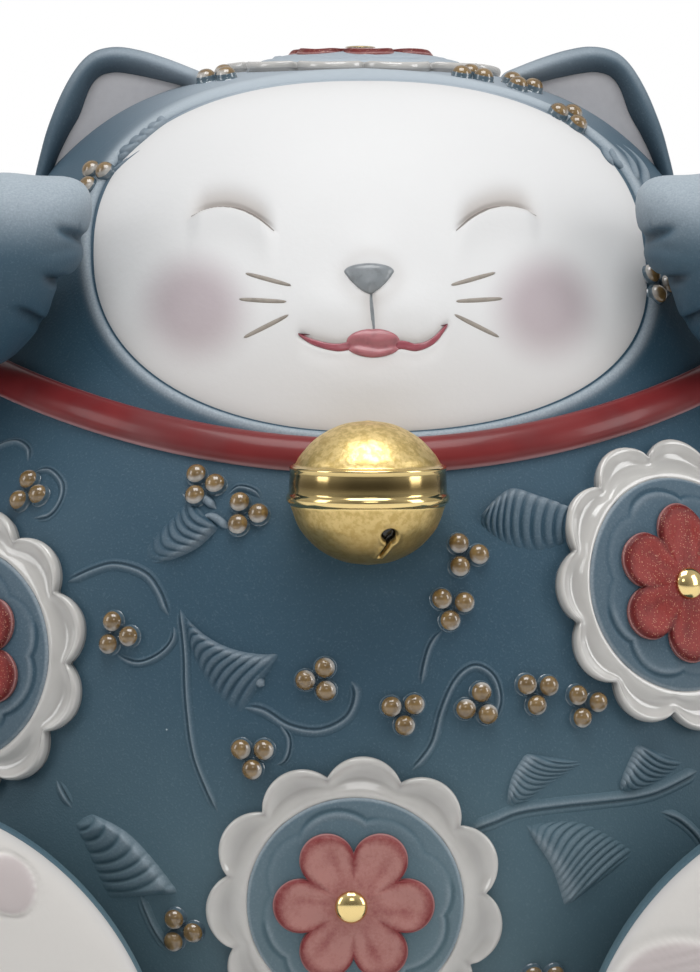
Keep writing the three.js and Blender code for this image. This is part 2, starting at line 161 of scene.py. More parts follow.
def laid(place, u, v, height):
    """Projects (u, v) of a place's plane along its normal onto the skin, by halving the distance between a
    point outside and a point inside the egg, and lifts each point along the skin's own normal."""
    u, v, height = np.broadcast_arrays(*(np.asarray(a, float) for a in (u, v, height)))
    plane = place.point + u[..., None] * place.right + v[..., None] * place.up
    outside, inside = np.full(u.shape, -8.0), np.full(u.shape, 40.0)
    for _ in range(26):
        middle = (outside + inside) / 2
        probe = plane - middle[..., None] * place.normal
        reach = np.hypot(probe[..., 0] / HALF_WIDTH, probe[..., 1] / depth_at(-probe[..., 1]))
        is_in = reach < girth(probe[..., 2])
        inside, outside = np.where(is_in, middle, inside), np.where(is_in, outside, middle)
    return landed(plane - inside[..., None] * place.normal, height)


# ---- curves and profiles ----


def ease(x, low, high):
    """Smooth step from 0 at low to 1 at high: 3 t^2 - 2 t^3."""
    t = np.clip((x - low) / (high - low), 0, 1)
    return t * t * (3 - 2 * t)


def bump(x, width):
    """Bell curve exp(-(x / width)^2)."""
    return np.exp(-((x / width) ** 2))


def even_steps(points, count):
    """Resamples a line of points at equal distances along it."""
    run = np.concatenate([[0], np.cumsum(np.linalg.norm(np.diff(points, axis=0), axis=1))])
    at = np.linspace(0, run[-1], count)
    return np.stack([np.interp(at, run, column) for column in points.T], 1)


def smooth_line(points, count):
    """Catmull-Rom curve through the points, at even steps."""
    p = np.asarray(points, float)
    p = np.vstack([2 * p[0] - p[1], p, 2 * p[-1] - p[-2]])
    spans = len(p) - 3
    t = np.linspace(0, spans, spans * 16 + 1)
    i = np.minimum(t.astype(int), spans - 1)
    f = (t - i)[:, None]
    a, b, c, d = p[i], p[i + 1], p[i + 2], p[i + 3]
    curve = 0.5 * (2 * b + (c - a) * f + (2 * a - 5 * b + 4 * c - d) * f**2 + (3 * b - a - 3 * c + d) * f**3)
    return even_steps(curve, count)


def around(count):
    """Angles of a closed ring, without its repeated end."""
    return np.arange(count) * (2 * np.pi / count)


def rolled_shares(start, bend, end, rows, first):
    """Even steps from start to bend, then 12 that draw closer up to end, where an edge rolls over."""
    close = np.sin(np.linspace(first, 1, 12) * np.pi / 2)
    return np.concatenate([np.linspace(start, bend, rows), bend + (end - bend) * close])


# ---- meshes ----


class Clay:
    """Gathers closed grids of points into one mesh. Each grid is closed on itself: columns and rows may run
    round, and what is left open is closed by a fan of triangles to a point."""

    def __init__(self):
        self.points, self.quads, self.fans, self.marks, self.count = [], [], [], {}, 0

    def add(self, grid, rows_run_round=False, columns_run_round=True, closing=None, **marks):
        """Adds a grid [rows, columns, 3] in millimetres. closing is the point, or the pair of points for the
        first and last rows, that the open ends close to; by default the middle of each open edge."""
        rows, columns = grid.shape[:2]
        number = np.arange(rows * columns).reshape(rows, columns)
        r = number if not rows_run_round else np.vstack([number, number[:1]])
        n = r if not columns_run_round else np.hstack([r, r[:, :1]])
        quads = np.stack([n[:-1, :-1], n[:-1, 1:], n[1:, 1:], n[1:, :-1]], -1).reshape(-1, 4)
        loops = []
        if not rows_run_round and columns_run_round:
            loops = [number[0][::-1], number[-1]]
        elif not rows_run_round:
            loops = [np.concatenate([number[0][::-1], number[1:, 0], number[-1, 1:], number[1:-1, -1][::-1]])]
        points = grid.reshape(-1, 3)
        closing = closing if isinstance(closing, (list, tuple)) else [closing] * len(loops)
        fans, tips = [], []
        for loop, tip in zip(loops, closing):
            tips.append(points[loop].mean(0) if tip is None else np.asarray(tip, float))
            centre = np.full(len(loop), len(points) + len(tips) - 1)
            fans.append(np.stack([loop, np.roll(loop, -1), centre], -1))
        points = np.vstack([points, *[t[None] for t in tips]])
        fans = np.vstack(fans) if fans else np.zeros((0, 3), int)
        halves = np.vstack([quads[:, :3], quads[:, [0, 2, 3]], fans])
        a, b, c = (points[halves[:, k]] - points.mean(0) for k in range(3))
        if np.sum(a * np.cross(b, c)) < 0:
            quads, fans = quads[:, ::-1], fans[:, ::-1]
        self.points.append(points)
        self.quads.append(quads + self.count)
        self.fans.append(fans + self.count)
        for name in set(self.marks) | set(marks):
            value = np.broadcast_to(marks.get(name, 0.0), (rows, columns)).reshape(-1)
            ends = [value[loop].mean() for loop in loops]
            earlier = self.marks.setdefault(name, [np.zeros(self.count)] if self.count else [])
            earlier.append(np.concatenate([value, ends]))
        self.count += len(points)
        return self

    def fired(self, name, material, slot=None, nodes=()):
        """Makes the mesh, with its marks as attributes, and lets it ride on the cat."""
        mesh = bpy.data.meshes.new(name)
        faces = np.vstack(self.quads).tolist() + np.vstack(self.fans).tolist()
        mesh.from_pydata((np.vstack(self.points) * MM).tolist(), [], faces)
        mesh.polygons.foreach_set("use_smooth", np.ones(len(mesh.polygons), bool))
        for mark, values in self.marks.items():
            attribute = mesh.attributes.new(mark, "FLOAT", "POINT")
            attribute.data.foreach_set("value", np.concatenate(values).astype(np.float32))
        mesh.update()
        piece = bpy.data.objects.new(name, mesh)
        bpy.context.scene.collection.objects.link(piece)
        mesh.materials.append(material)
        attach(piece, "root")
        if nodes:
            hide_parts(*nodes)
        return piece

    def fired_as(self, node, material, slot):
        """The usual case: the mesh stands for one node and is named after it."""
        return self.fired(f"fired_{node}", material, slot, [node])


# ---- glazes and bisque ----


class Wire:
    """A socket of a glaze's nodes. Plus, minus and times add Math nodes, in either order."""

    def __init__(self, glaze, socket):
        self.glaze, self.socket = glaze, socket

    def math(self, operation, *others, before=False, clamp=False):
        values = [*others, self] if before else [self, *others]
        return self.glaze.node("ShaderNodeMath", {"operation": operation, "use_clamp": clamp}, *values)

    def out(self, name):
        return Wire(self.glaze, self.socket.node.outputs[name])

    def __add__(self, other):
        return self.math("ADD", other)

    def __mul__(self, other):
        return self.math("MULTIPLY", other)

    def __sub__(self, other):
        return self.math("SUBTRACT", other)

    def __rsub__(self, other):
        return self.math("SUBTRACT", other, before=True)

    __radd__, __rmul__ = __add__, __mul__

    def held(self):
        """The value kept between 0 and 1."""
        return self.math("ADD", 0.0, clamp=True)

    def between(self, low, high):
        """0 at low and below, 1 at high and above, smooth between."""
        settings = {"interpolation_type": "SMOOTHSTEP"}
        return self.glaze.node("ShaderNodeMapRange", settings, self, low, high)


class Glaze:
    """One material: a Principled shader and the nodes that feed it."""

    def __init__(self, name, **constants):
        self.material = bpy.data.materials.new(name)
        self.material.use_nodes = True
        self.tree = self.material.node_tree
        self.shader = self.tree.nodes["Principled BSDF"]
        for socket, value in constants.items():
            self.shader.inputs[socket.replace("_", " ")].default_value = value

    def node(self, kind, settings, *values, **named):
        """Adds a node, sets its settings first, then fills its sockets in order and by name."""
        made = self.tree.nodes.new(kind)
        for key, value in settings.items():
            setattr(made, key, value)
        pairs = list(zip(made.inputs, values))
        pairs += [(made.inputs[key.replace("_", " ")], value) for key, value in named.items()]
        for socket, value in pairs:
            if isinstance(value, Wire):
                self.tree.links.new(value.socket, socket)
            elif value is not None:
                socket.default_value = value
        shown = [o for o in made.outputs if o.enabled]
        return Wire(self, shown[0])

    def mark(self, name):
        """A vertex attribute, as a number."""
        return self.node("ShaderNodeAttribute", {"attribute_name": name}).out("Fac")

    def place(self):
        return self.node("ShaderNodeTexCoord", {}).out("Object")

    def height(self):
        """Height above the floor in metres."""
        return self.node("ShaderNodeSeparateXYZ", {}, self.place()).out("Z")

    def speckle(self, scale, detail=2.0, roughness=0.5):
        """Noise over the object, 0 to 1; scale is in features per metre."""
        return self.node(
            "ShaderNodeTexNoise", {}, Vector=self.place(), Scale=scale, Detail=detail, Roughness=roughness
        )

    def dots(self, scale, radius, chosen):
        """Small round dots in one share of the cells of a Voronoi pattern; radius is in cells."""
        cells = self.node("ShaderNodeTexVoronoi", {}, Vector=self.place(), Scale=scale)
        lot = self.node("ShaderNodeSeparateColor", {}, cells.out("Color")).out("Red")
        round_spot = 1 - cells.out("Distance").between(radius * 0.6, radius)
        return round_spot * lot.between(1 - chosen, 1.001 - chosen)

    def blend(self, share, first, second):
        """Mixes two colours; share 0 gives the first."""
        made = self.tree.nodes.new("ShaderNodeMix")
        made.data_type = "RGBA"
        by_name = {s.identifier: s for s in made.inputs}
        for key, value in (("Factor_Float", share), ("A_Color", first), ("B_Color", second)):
            if isinstance(value, Wire):
                self.tree.links.new(value.socket, by_name[key])
            else:
                by_name[key].default_value = value if key == "Factor_Float" else (*value, 1.0)
        return Wire(self, next(o for o in made.outputs if o.identifier == "Result_Color"))

    def feed(self, **sockets):
        for name, wire in sockets.items():
            self.tree.links.new(wire.socket, self.shader.inputs[name.replace("_", " ")])
        return self

    def bumps(self, height, distance, strength=1.0):
        """Feeds a height in 0 to 1 to the shader's normal; distance is its full height in metres."""
        self.feed(Normal=self.node("ShaderNodeBump", {}, Height=height, Distance=distance, Strength=strength))
        return self


DEEP_BLUE = (0.023, 0.062, 0.096)
SLATE_BLUE = (0.098, 0.160, 0.185)
PALE_BLUE = (0.400, 0.450, 0.500)
SHADE_BLUE = (0.004, 0.010, 0.018)
CREAM_WHITE = (0.635, 0.637, 0.640)
DUSTY_PINK = (0.300, 0.215, 0.245)


def blue_bisque(name="blue_bisque"):
    """Matt blue body: deep blue, greyer towards the foot, partly its own tone and partly painted light from
    the floor, paler towards the crown as painted light from above, painted highlight on raised edges and tops
    and painted shade in hollows, with a fine grain and a few white specks."""
    glaze = Glaze(name, Specular_IOR_Level=0.35)
    z = glaze.height()
    # Painted light: greyer and paler towards the foot, partly the glaze's own tone and partly light bounced
    # from the floor.
    low = 1 - z.between(0.028, 0.100)
    x = glaze.node("ShaderNodeSeparateXYZ", {}, glaze.place()).out("X")
    beside = x.math("ABSOLUTE").between(0.018, 0.050)
    # Painted light: paler towards the crown, where light falls from above, and less so beside the face.
    high = z.between(0.140, 0.187) * (1 - beside * 0.85)
    cloud = glaze.speckle(28.0, 3.0)
    grain = glaze.speckle(2600.0, 2.0)
    colour = glaze.blend((low * 0.75 + (cloud - 0.5) * 0.5).held(), DEEP_BLUE, SLATE_BLUE)
    colour = glaze.blend((high * 0.75).held(), colour, PALE_BLUE)
    # Painted light: this mark lightens raised edges and tops as painted highlight and darkens hollows as
    # painted shade.
    relief = glaze.mark("relief")
    colour = glaze.blend((relief * (0.45 + grain * 0.5)).held(), colour, (0.40, 0.455, 0.50))
    colour = glaze.blend((relief * -0.75).held(), colour, SHADE_BLUE)
    colour = glaze.blend((grain.between(0.50, 0.85) * 0.12), colour, (0.30, 0.38, 0.44))
    colour = glaze.blend(glaze.dots(120.0, 0.026, 0.30) * 0.7, colour, (0.45, 0.50, 0.52))
    glaze.feed(Base_Color=colour, Roughness=0.50 + grain * 0.16)
    glaze.bumps(grain * 0.6 + cloud * 0.4, 0.00010)
    return glaze.material


def white_bisque():
    """Soft white bisque of the face: mauve blush on the cheeks, and brownish painted shade over the eyes, at
    the rim, round the nose and mouth and towards the chin.
    """
    glaze = Glaze("white_bisque", Specular_IOR_Level=0.35)
    grain = glaze.speckle(900.0, 3.0)
    colour = glaze.blend(glaze.mark("blush").held(), CREAM_WHITE, DUSTY_PINK)
    colour = glaze.blend(glaze.mark("shade").held(), colour, (0.33, 0.285, 0.255))
    colour = glaze.blend(grain * 0.05, colour, (0.60, 0.58, 0.57))
    glaze.feed(Base_Color=colour, Roughness=0.48 + grain * 0.10)
    glaze.bumps(grain, 0.00003)
    return glaze.material


def sole_bisque():
    """Satin white sole, greyer at its rolled edge as painted shade, with rose-grey pads."""
    glaze = Glaze("sole_bisque", Specular_IOR_Level=0.45)
    grain = glaze.speckle(900.0, 3.0)
    colour = glaze.blend(glaze.mark("shade").held(), (0.585, 0.565, 0.540), (0.27, 0.28, 0.30))
    colour = glaze.blend(glaze.mark("pad").held(), colour, (0.44, 0.385, 0.385))
    colour = glaze.blend(grain * 0.06, colour, (0.45, 0.43, 0.42))
    glaze.feed(Base_Color=colour, Roughness=0.34 + grain * 0.12)
    glaze.bumps(grain, 0.00003)
    return glaze.material


def plain_bisque(name, colour, worn, roughness=0.5, scale=900.0, strength=0.2):
    """One colour broken by a fine grain towards a second."""
    glaze = Glaze(name, Specular_IOR_Level=0.4)
    grain = glaze.speckle(scale, 3.0)
    glaze.feed(
        Base_Color=glaze.blend(grain.between(0.35, 0.75) * strength, colour, worn),
        Roughness=roughness + grain * 0.1,
    )
    glaze.bumps(grain, 0.00003)
    return glaze.material


def burgundy_glaze():
    """Deep glossy burgundy that breaks to a pale rose along the band's edges."""
    glaze = Glaze("burgundy_glaze", Coat_Weight=0.14, Coat_Roughness=0.10, Specular_IOR_Level=0.22)
    cloud = glaze.speckle(60.0, 3.0)
    edge = (glaze.mark("edge") + (cloud - 0.5) * 0.5).held()
    colour = glaze.blend(cloud.between(0.35, 0.7), (0.172, 0.021, 0.022), (0.118, 0.012, 0.014))
    colour = glaze.blend(edge, colour, (0.42, 0.23, 0.23))
    glaze.feed(Base_Color=colour, Roughness=0.28 + cloud * 0.10)
    glaze.bumps(cloud, 0.00012)
    return glaze.material


def ivory_glaze():
    """Thick glossy ivory, a little darker and warmer in hollows as painted shade: in each dish, at the
    pinches and under the outer edge.
    """
    glaze = Glaze("ivory_glaze", Coat_Weight=0.7, Coat_Roughness=0.03, Specular_IOR_Level=0.55)
    cloud = glaze.speckle(130.0, 3.0)
    colour = glaze.blend(cloud.between(0.4, 0.75) * 0.4, (0.48, 0.468, 0.447), (0.38, 0.37, 0.357))
    # Painted shade in the ring's hollows.
    colour = glaze.blend((glaze.mark("relief") * -0.9).held(), colour, (0.22, 0.215, 0.21))
    glaze.feed(Base_Color=colour, Roughness=0.10 + cloud * 0.10)
    glaze.bumps(cloud, 0.00010)
    return glaze.material


def petal_enamel(name, middle, edge, pale_rim, glitter):
    """Enamel petals: grainy, deeper in colour at the edges, with painted shade in the folds, round the middle
    and in a patch on each petal, and a pale line where it is thin.
    """
    glaze = Glaze(name, Specular_IOR_Level=0.25)
    grain = glaze.speckle(1700.0, 3.0, 0.7)
    cloud = glaze.speckle(220.0, 3.0)
    # Painted shade in the folds and towards the middle, together with the enamel's own deeper rims.
    deep_colour_and_shade = (glaze.mark("edge") + (cloud - 0.5) * 0.9 + (grain - 0.5) * 0.9).held()
    colour = glaze.blend(deep_colour_and_shade, middle, edge)
    colour = glaze.blend((glaze.mark("rim") * (0.4 + grain)).held(), colour, pale_rim)
    sparks = glaze.dots(4200.0, 0.42, 0.22)
    colour = glaze.blend(sparks * glitter, colour, (0.75, 0.45, 0.30))
    glaze.feed(Base_Color=colour, Roughness=0.40 - sparks * 0.25)
    glaze.bumps(grain * 0.7 + cloud * 0.3, 0.00014)
    return glaze.material


def gold_lustre():
    """Fired gold: mirror on the studs, a dark painted reflection on the band, satin on the worked domes with
    painted shade on the lower one, and black in the slot as painted shade for the bell's dark inside.
    """
    glaze = Glaze("gold_lustre")
    fine = glaze.speckle(750.0, 3.0, 0.65)
    broad = glaze.speckle(160.0, 2.0)
    worked = glaze.mark("worked")
    slot = glaze.mark("slot").between(0.35, 0.65)
    patina = (worked * fine.between(0.38, 0.64)).held() * 0.8
    colour = glaze.blend(patina, (0.86, 0.66, 0.30), (0.55, 0.39, 0.13))
    # Painted shade: the bell's lower dome is painted darker.
    shaded_lower_dome = worked * (1 - glaze.height().between(0.108, 0.122))
    colour = glaze.blend(shaded_lower_dome * 0.75, colour, (0.36, 0.25, 0.09))
    # Painted reflection: a dark band round the bell's middle.
    colour = glaze.blend(glaze.mark("band") * 0.85, colour, (0.13, 0.085, 0.030))
    # Painted shade: the pressed-in keyhole is painted black for the dark inside of the hollow bell.
    colour = glaze.blend(slot, colour, (0.004, 0.003, 0.002))
    glaze.feed(Base_Color=colour, Metallic=1 - slot, Roughness=(0.14 + worked * (0.20 + fine * 0.14)).held())
    glaze.bumps(fine * worked * 0.7 + broad * 0.2, 0.00014)
    return glaze.material


def amber_bead():
    """An amber-ochre drop of glaze on a slip bead: pale at its lower edge as painted light gathered through
    the clear glaze, blue-grey at the base.
    """
    glaze = Glaze("ochre_glaze", Coat_Weight=0.8, Coat_Roughness=0.03, Specular_IOR_Level=0.6)
    cloud = glaze.speckle(600.0, 2.0)
    colour = glaze.blend(cloud.between(0.3, 0.7), (0.215, 0.135, 0.050), (0.130, 0.080, 0.030))
    # Painted light: the lower edge is painted milky pale, for light gathered through the clear glaze.
    colour = glaze.blend((glaze.mark("milk") * 0.75).held(), colour, (0.50, 0.49, 0.47))
    colour = glaze.blend(glaze.mark("base").between(0.35, 0.65), colour, (0.075, 0.115, 0.145))
    glaze.feed(Base_Color=colour, Roughness=0.12 + cloud * 0.08)
    return glaze.material


def simple_glaze(name, colour, roughness, **constants):
    """A thin painted glaze with a slight unevenness."""
    glaze = Glaze(name, **constants)
    cloud = glaze.speckle(700.0, 3.0)
    darker = tuple(0.55 * c for c in colour)
    mottled = glaze.blend(cloud.between(0.4, 0.8) * 0.6, colour, darker)
    glaze.feed(Base_Color=mottled, Roughness=roughness + cloud * 0.1)
    glaze.bumps(cloud, 0.00004)
    return glaze.material


BLUE = blue_bisque()
EAR_BLUE = blue_bisque("ear_blue_bisque")
WHITE = white_bisque()
SOLE = sole_bisque()
INLAY = plain_bisque("rose_grey_bisque", (0.47, 0.465, 0.485), (0.38, 0.37, 0.395), 0.55)
BURGUNDY = burgundy_glaze()
IVORY = ivory_glaze()
GOLD = gold_lustre()
AMBER = amber_bead()
ROSE = petal_enamel("rose_enamel", (0.385, 0.180, 0.160), (0.19, 0.030, 0.032), (0.45, 0.29, 0.28), 0.10)
DEEP_RED = petal_enamel(
    "deep_red_enamel", (0.235, 0.026, 0.021), (0.11, 0.009, 0.009), (0.50, 0.30, 0.29), 0.50
)
NOSE_GREY = simple_glaze("nose_grey", (0.205, 0.225, 0.240), 0.30, Coat_Weight=0.3)
LINE_GREY = simple_glaze("line_grey", (0.27, 0.24, 0.205), 0.5)
EYE_LINE = simple_glaze("eye_line_grey", (0.19, 0.170, 0.155), 0.4)
MOUTH_RED = simple_glaze("mouth_red", (0.28, 0.060, 0.080), 0.28, Coat_Weight=0.3)
TONGUE_PINK = simple_glaze("tongue_pink", (0.35, 0.115, 0.130), 0.36, Coat_Weight=0.2)

# ---- castings ----


def flat_ring(turn, radius, z):
    return np.stack([radius * np.sin(turn), -radius * np.cos(turn), np.full_like(turn, z)], -1)


def band_rows(low, high, rows, turn, lift=0.0):
    """Rings of the skin between two heights (each a number or one per turn), even in the angle of rise."""
    share = np.linspace(0, 1, rows)[:, None]
    rise = rise_of(np.asarray(low) + 0 * turn) * (1 - share) + rise_of(np.asarray(high) + 0 * turn) * share
    return skin(turn[None] + 0 * rise, height_of(rise), lift)


def body_casting():
    """Closed loft of rings: out over the foot, up the skin to the collar joint, down the inside, across the
    floor and out through the vent."""
    turn = around(288)
    joint = collar_line(turn) - JOINT_GAP
    outer = band_rows(1.2, joint, 150, turn)
    inner = band_rows(FLOOR + 6, joint - 0.5, 24, turn, -WALL)[::-1]
    edge = [skin(turn, 0.0, 0.0) * [0.984, 0.984, 1], skin(turn, 0.3, -0.25)]
    recess = [(VENT_RADIUS + 0.6, FOOT_RECESS_DEPTH), (FOOT_RECESS_RADIUS - 0.5, FOOT_RECESS_DEPTH)]
    foot = [*recess, (FOOT_RECESS_RADIUS, 1.1), (FOOT_RING_EDGE, 0.0)]
    inside = [(54.0, FLOOR + 0.4), (50.0, FLOOR), (VENT_RADIUS + 0.5, FLOOR)]
    inside += [(VENT_RADIUS, 4.5), (VENT_RADIUS, 2.0)]
    rings = [flat_ring(turn, r, z) for r, z in foot] + edge
    floor = [flat_ring(turn, r, z) for r, z in inside]
    rings = np.concatenate([np.array(rings), outer, inner, np.array(floor)])
    Clay().add(rings, rows_run_round=True).fired(
        "fired_body", BLUE, "blue_bisque", ["body_casting"]
    )


FACE_X, FACE_Z = 0.8, 157.0
FACE_HALF_WIDTH = 47.7
FACE_HALF_HEIGHT = 29.6
FACE_SQUARENESS = 2.3
FACE_PLACE = Place.facing_front(FACE_X, FACE_Z)


def fuller_cheek(across, up):
    """How much wider the oval is on its right half: a little everywhere and most beside the chin."""
    return 1 + (across > 0) * (0.026 + 0.078 * ease(-up, -4.0, 28.0))


def face_ring(angle, share=1.0, outwards=0.0):
    """Superellipse |x / a|^n + |z / b|^n = share^n about the face's middle, grown by a distance outwards and
    made fuller at one cheek."""
    n = FACE_SQUARENESS
    stretch = (np.abs(np.cos(angle)) ** n + np.abs(np.sin(angle)) ** n) ** (-1 / n)
    across = (FACE_HALF_WIDTH * share * stretch + outwards) * np.cos(angle)
    up = (FACE_HALF_HEIGHT * share * stretch + outwards) * np.sin(angle)
    return across * fuller_cheek(across, up), up


def head_casting():
    """The skin above the collar joint with its inner wall, and a rounded lip round the face: the lip's cross
    section rises from the skin, turns over and drops into the groove beside the face."""
    turn = around(288)
    joint = collar_line(turn) + JOINT_GAP
    outer = band_rows(joint, CROWN_Z - 0.002, 120, turn)
    inner = band_rows(joint + 0.5, CROWN_Z - 6.0, 20, turn, -WALL)
    clay = Clay()
    rows = np.concatenate([inner[::-1], outer])
    clay.add(rows, closing=([0, 0, CROWN_Z - WALL - 1.5], [0, 0, CROWN_Z]))
    section = np.array(
        [(5.5, -0.35, 0), (4.0, 0.02, 0), (2.8, 0.12, 0), (1.9, 0.26, 0.2), (1.2, 0.48, 0.9)]
        + [(0.7, 0.60, 1.2), (0.3, 0.50, 1.0), (0.0, 0.20, 0.4), (-0.1, -0.1, -0.4)]
        + [(-0.1, -0.5, -1), (0.6, -1.2, -1), (4.5, -1.2, 0)]
    )
    section = np.vstack([smooth_line(section[:9], 34), section[9:]])
    angle = around(300)[None]
    reach, lift, relief = (section[:, k][:, None] for k in range(3))
    lip = laid(FACE_PLACE, *face_ring(angle, 1.0, reach), lift + 0 * angle)
    # Painted light: the lip's crest is painted paler as painted highlight, and the groove beside the face
    # darker as painted shade.
    clay.add(lip, rows_run_round=True, relief=relief * 0.85 + 0 * angle)
    clay.fired("fired_head", BLUE, "blue_bisque", ["head_casting"])


# ---- face ----

EYE_ARC = np.polyfit([15.5, 23.4, 28.9], [160.4, 164.2, 162.7], 2)
EYE_X = 0.1
NOSE_X = 0.9
MOUTH = [(-11.4, 143.3), (-8.6, 141.9), (-5.0, 141.1), (-1.7, 141.5), (2.0, 140.9), (5.6, 141.5)]
MOUTH += [(8.4, 141.1), (11.2, 142.2), (13.6, 144.8)]


def across_face(x, z):
    n = FACE_SQUARENESS
    wide = np.abs(x - FACE_X) / fuller_cheek(x - FACE_X, z - FACE_Z) / FACE_HALF_WIDTH
    tall = np.abs(z - FACE_Z) / FACE_HALF_HEIGHT
    return (wide**n + tall**n) ** (1 / n)


def face_height(x, z):
    """Crowned pillow 2.2 sqrt(1 - q^4), q the share of the way to the oval's edge, plus soft bumps for
    muzzle, nose bridge, chin, cheeks and eyelids, minus grooves at the eyes, the lip and the mouth."""
    q = np.minimum(across_face(x, z), 1)
    side = np.abs(x - NOSE_X)
    height = 2.2 * np.sqrt(1 - q**4) - 0.45
    height = height + 1.0 * bump(side - 6.0, 6.0) * bump(z - 147.0, 5.0)
    height = height + 0.7 * bump(side, 4.5) * bump(z - 154.5, 6.0)
    height = height + 0.6 * bump(side, 9.0) * bump(z - 135.5, 4.5)
    height = height + 0.6 * bump(side - 28.0, 12.0) * bump(z - 150.0, 8.5)
    lid = np.abs(x - EYE_X)
    over = z - np.polyval(EYE_ARC, lid)
    span = ease(lid, 14.4, 17.5) * (1 - ease(lid, 27.0, 30.2))
    height = height + span * (0.95 * (1 - ease(over, -0.35, 0.35)) * bump(np.minimum(over, 0), 4.2))
    socket = 0.45 * bump(over - 1.4, 2.6) * ease(over, 0, 0.8)
    height = height - span * (0.55 * bump(over - 0.35, 0.55) + socket)
    height = height - 0.35 * bump(x - NOSE_X, 0.55) * ease(z, 143.0, 145.0) * (1 - ease(z, 150.0, 151.5))
    mouth = np.interp(x, *np.array(MOUTH).T)
    within = ease(x, -12.4, -10.0) * (1 - ease(x, 12.4, 14.6))
    return height - within * (0.55 * bump(z - mouth, 0.75) + 0.25 * bump(z - mouth + 1.6, 1.6))


def on_face(x, z, lift=0.0):
    x, z = np.broadcast_arrays(np.asarray(x, float), np.asarray(z, float))
    return laid(FACE_PLACE, x - FACE_X, z - FACE_Z, face_height(x, z) + lift)


def face_plate():
    """Polar grid over the oval, closer together at its rolled edge, closed behind."""
    share = rolled_shares(0.006, 0.93, 1.0, 132, 0.12)
    angle = around(440)[None]
    x, z = face_ring(angle, share[:, None])
    x, z = x + FACE_X, z + FACE_Z
    lid = np.abs(x - EYE_X)
    over = z - np.polyval(EYE_ARC, lid)
    span = ease(lid, 14.5, 18.0) * (1 - ease(lid, 26.0, 31.0))
    # Painted shade, brownish: over the eyes and in their creases, at the oval's rim, towards the chin, above
    # the mouth, below the tongue, down the philtrum and round the nose.
    shade = span * (0.62 * bump(over - 0.9, 2.3) * ease(over, -0.3, 0.6) + 0.50 * bump(over - 0.1, 0.6))
    shade = shade + 0.10 * bump(across_face(x, z) - 1.0, 0.07) + 0.32 * ease(150.0 - z, 0.0, 18.0)
    side = np.abs(x - NOSE_X)
    mouth = np.interp(x, *np.array(MOUTH).T)
    within = ease(x, -12.4, -9.0) * (1 - ease(x, 11.4, 14.6))
    shade = shade + 0.22 * within * bump(z - mouth - 1.1, 1.1) + 0.20 * bump(side, 5.5) * bump(z - 138.6, 1.6)
    shade = shade + 0.30 * bump(side, 1.5) * ease(z, 142.0, 144.5) * (1 - ease(z, 150.0, 152.0))
    shade = shade + 0.16 * bump(np.hypot(side, (z - 152.6) * 1.15) - 4.4, 1.5)
    spot = np.hypot(np.abs(x - NOSE_X) - 29.6, (z - 147.3) * 1.02)
    blush = 0.66 * (1 - ease(spot, 3.5, 12.0))
    back = laid(FACE_PLACE, 0.97 * (x[-1:] - FACE_X), 0.97 * (z[-1:] - FACE_Z), -1.6)
    front = on_face(x, z)
    grid = np.concatenate([front, back])
    middle = on_face(FACE_X, FACE_Z)
    clay = Clay()
    rim = np.zeros_like(shade[:1])
    clay.add(
        grid,
        closing=(middle, laid(FACE_PLACE, 0.0, 0.0, -1.6)),
        shade=np.concatenate([shade, rim]),
        blush=np.concatenate([blush, rim]),
    )
    clay.fired("fired_face", WHITE, "white_bisque", ["face_plate"])


def drawn_line(clay, points, width, lift, steps=60, sharpen=0.7, **marks):
    """A raised thread on the face along (x, z) points: half-round, thinning to both ends."""
    path = smooth_line(points, steps)
    ahead = np.gradient(path, axis=0)
    ahead = ahead / np.linalg.norm(ahead, axis=1, keepdims=True)
    share = np.linspace(0, 1, steps)
    size = width * (0.12 + 0.88 * np.clip(4 * share * (1 - share), 0, 1) ** sharpen)
    angle = np.linspace(0, np.pi, 9)
    over = np.cos(angle)[None] * size[:, None]
    x = path[:, :1] - ahead[:, 1:] * over
    z = path[:, 1:] + ahead[:, :1] * over
    clay.add(on_face(x, z, -0.12 + (lift + 0.12) * np.sin(angle)[None]), columns_run_round=False, **marks)


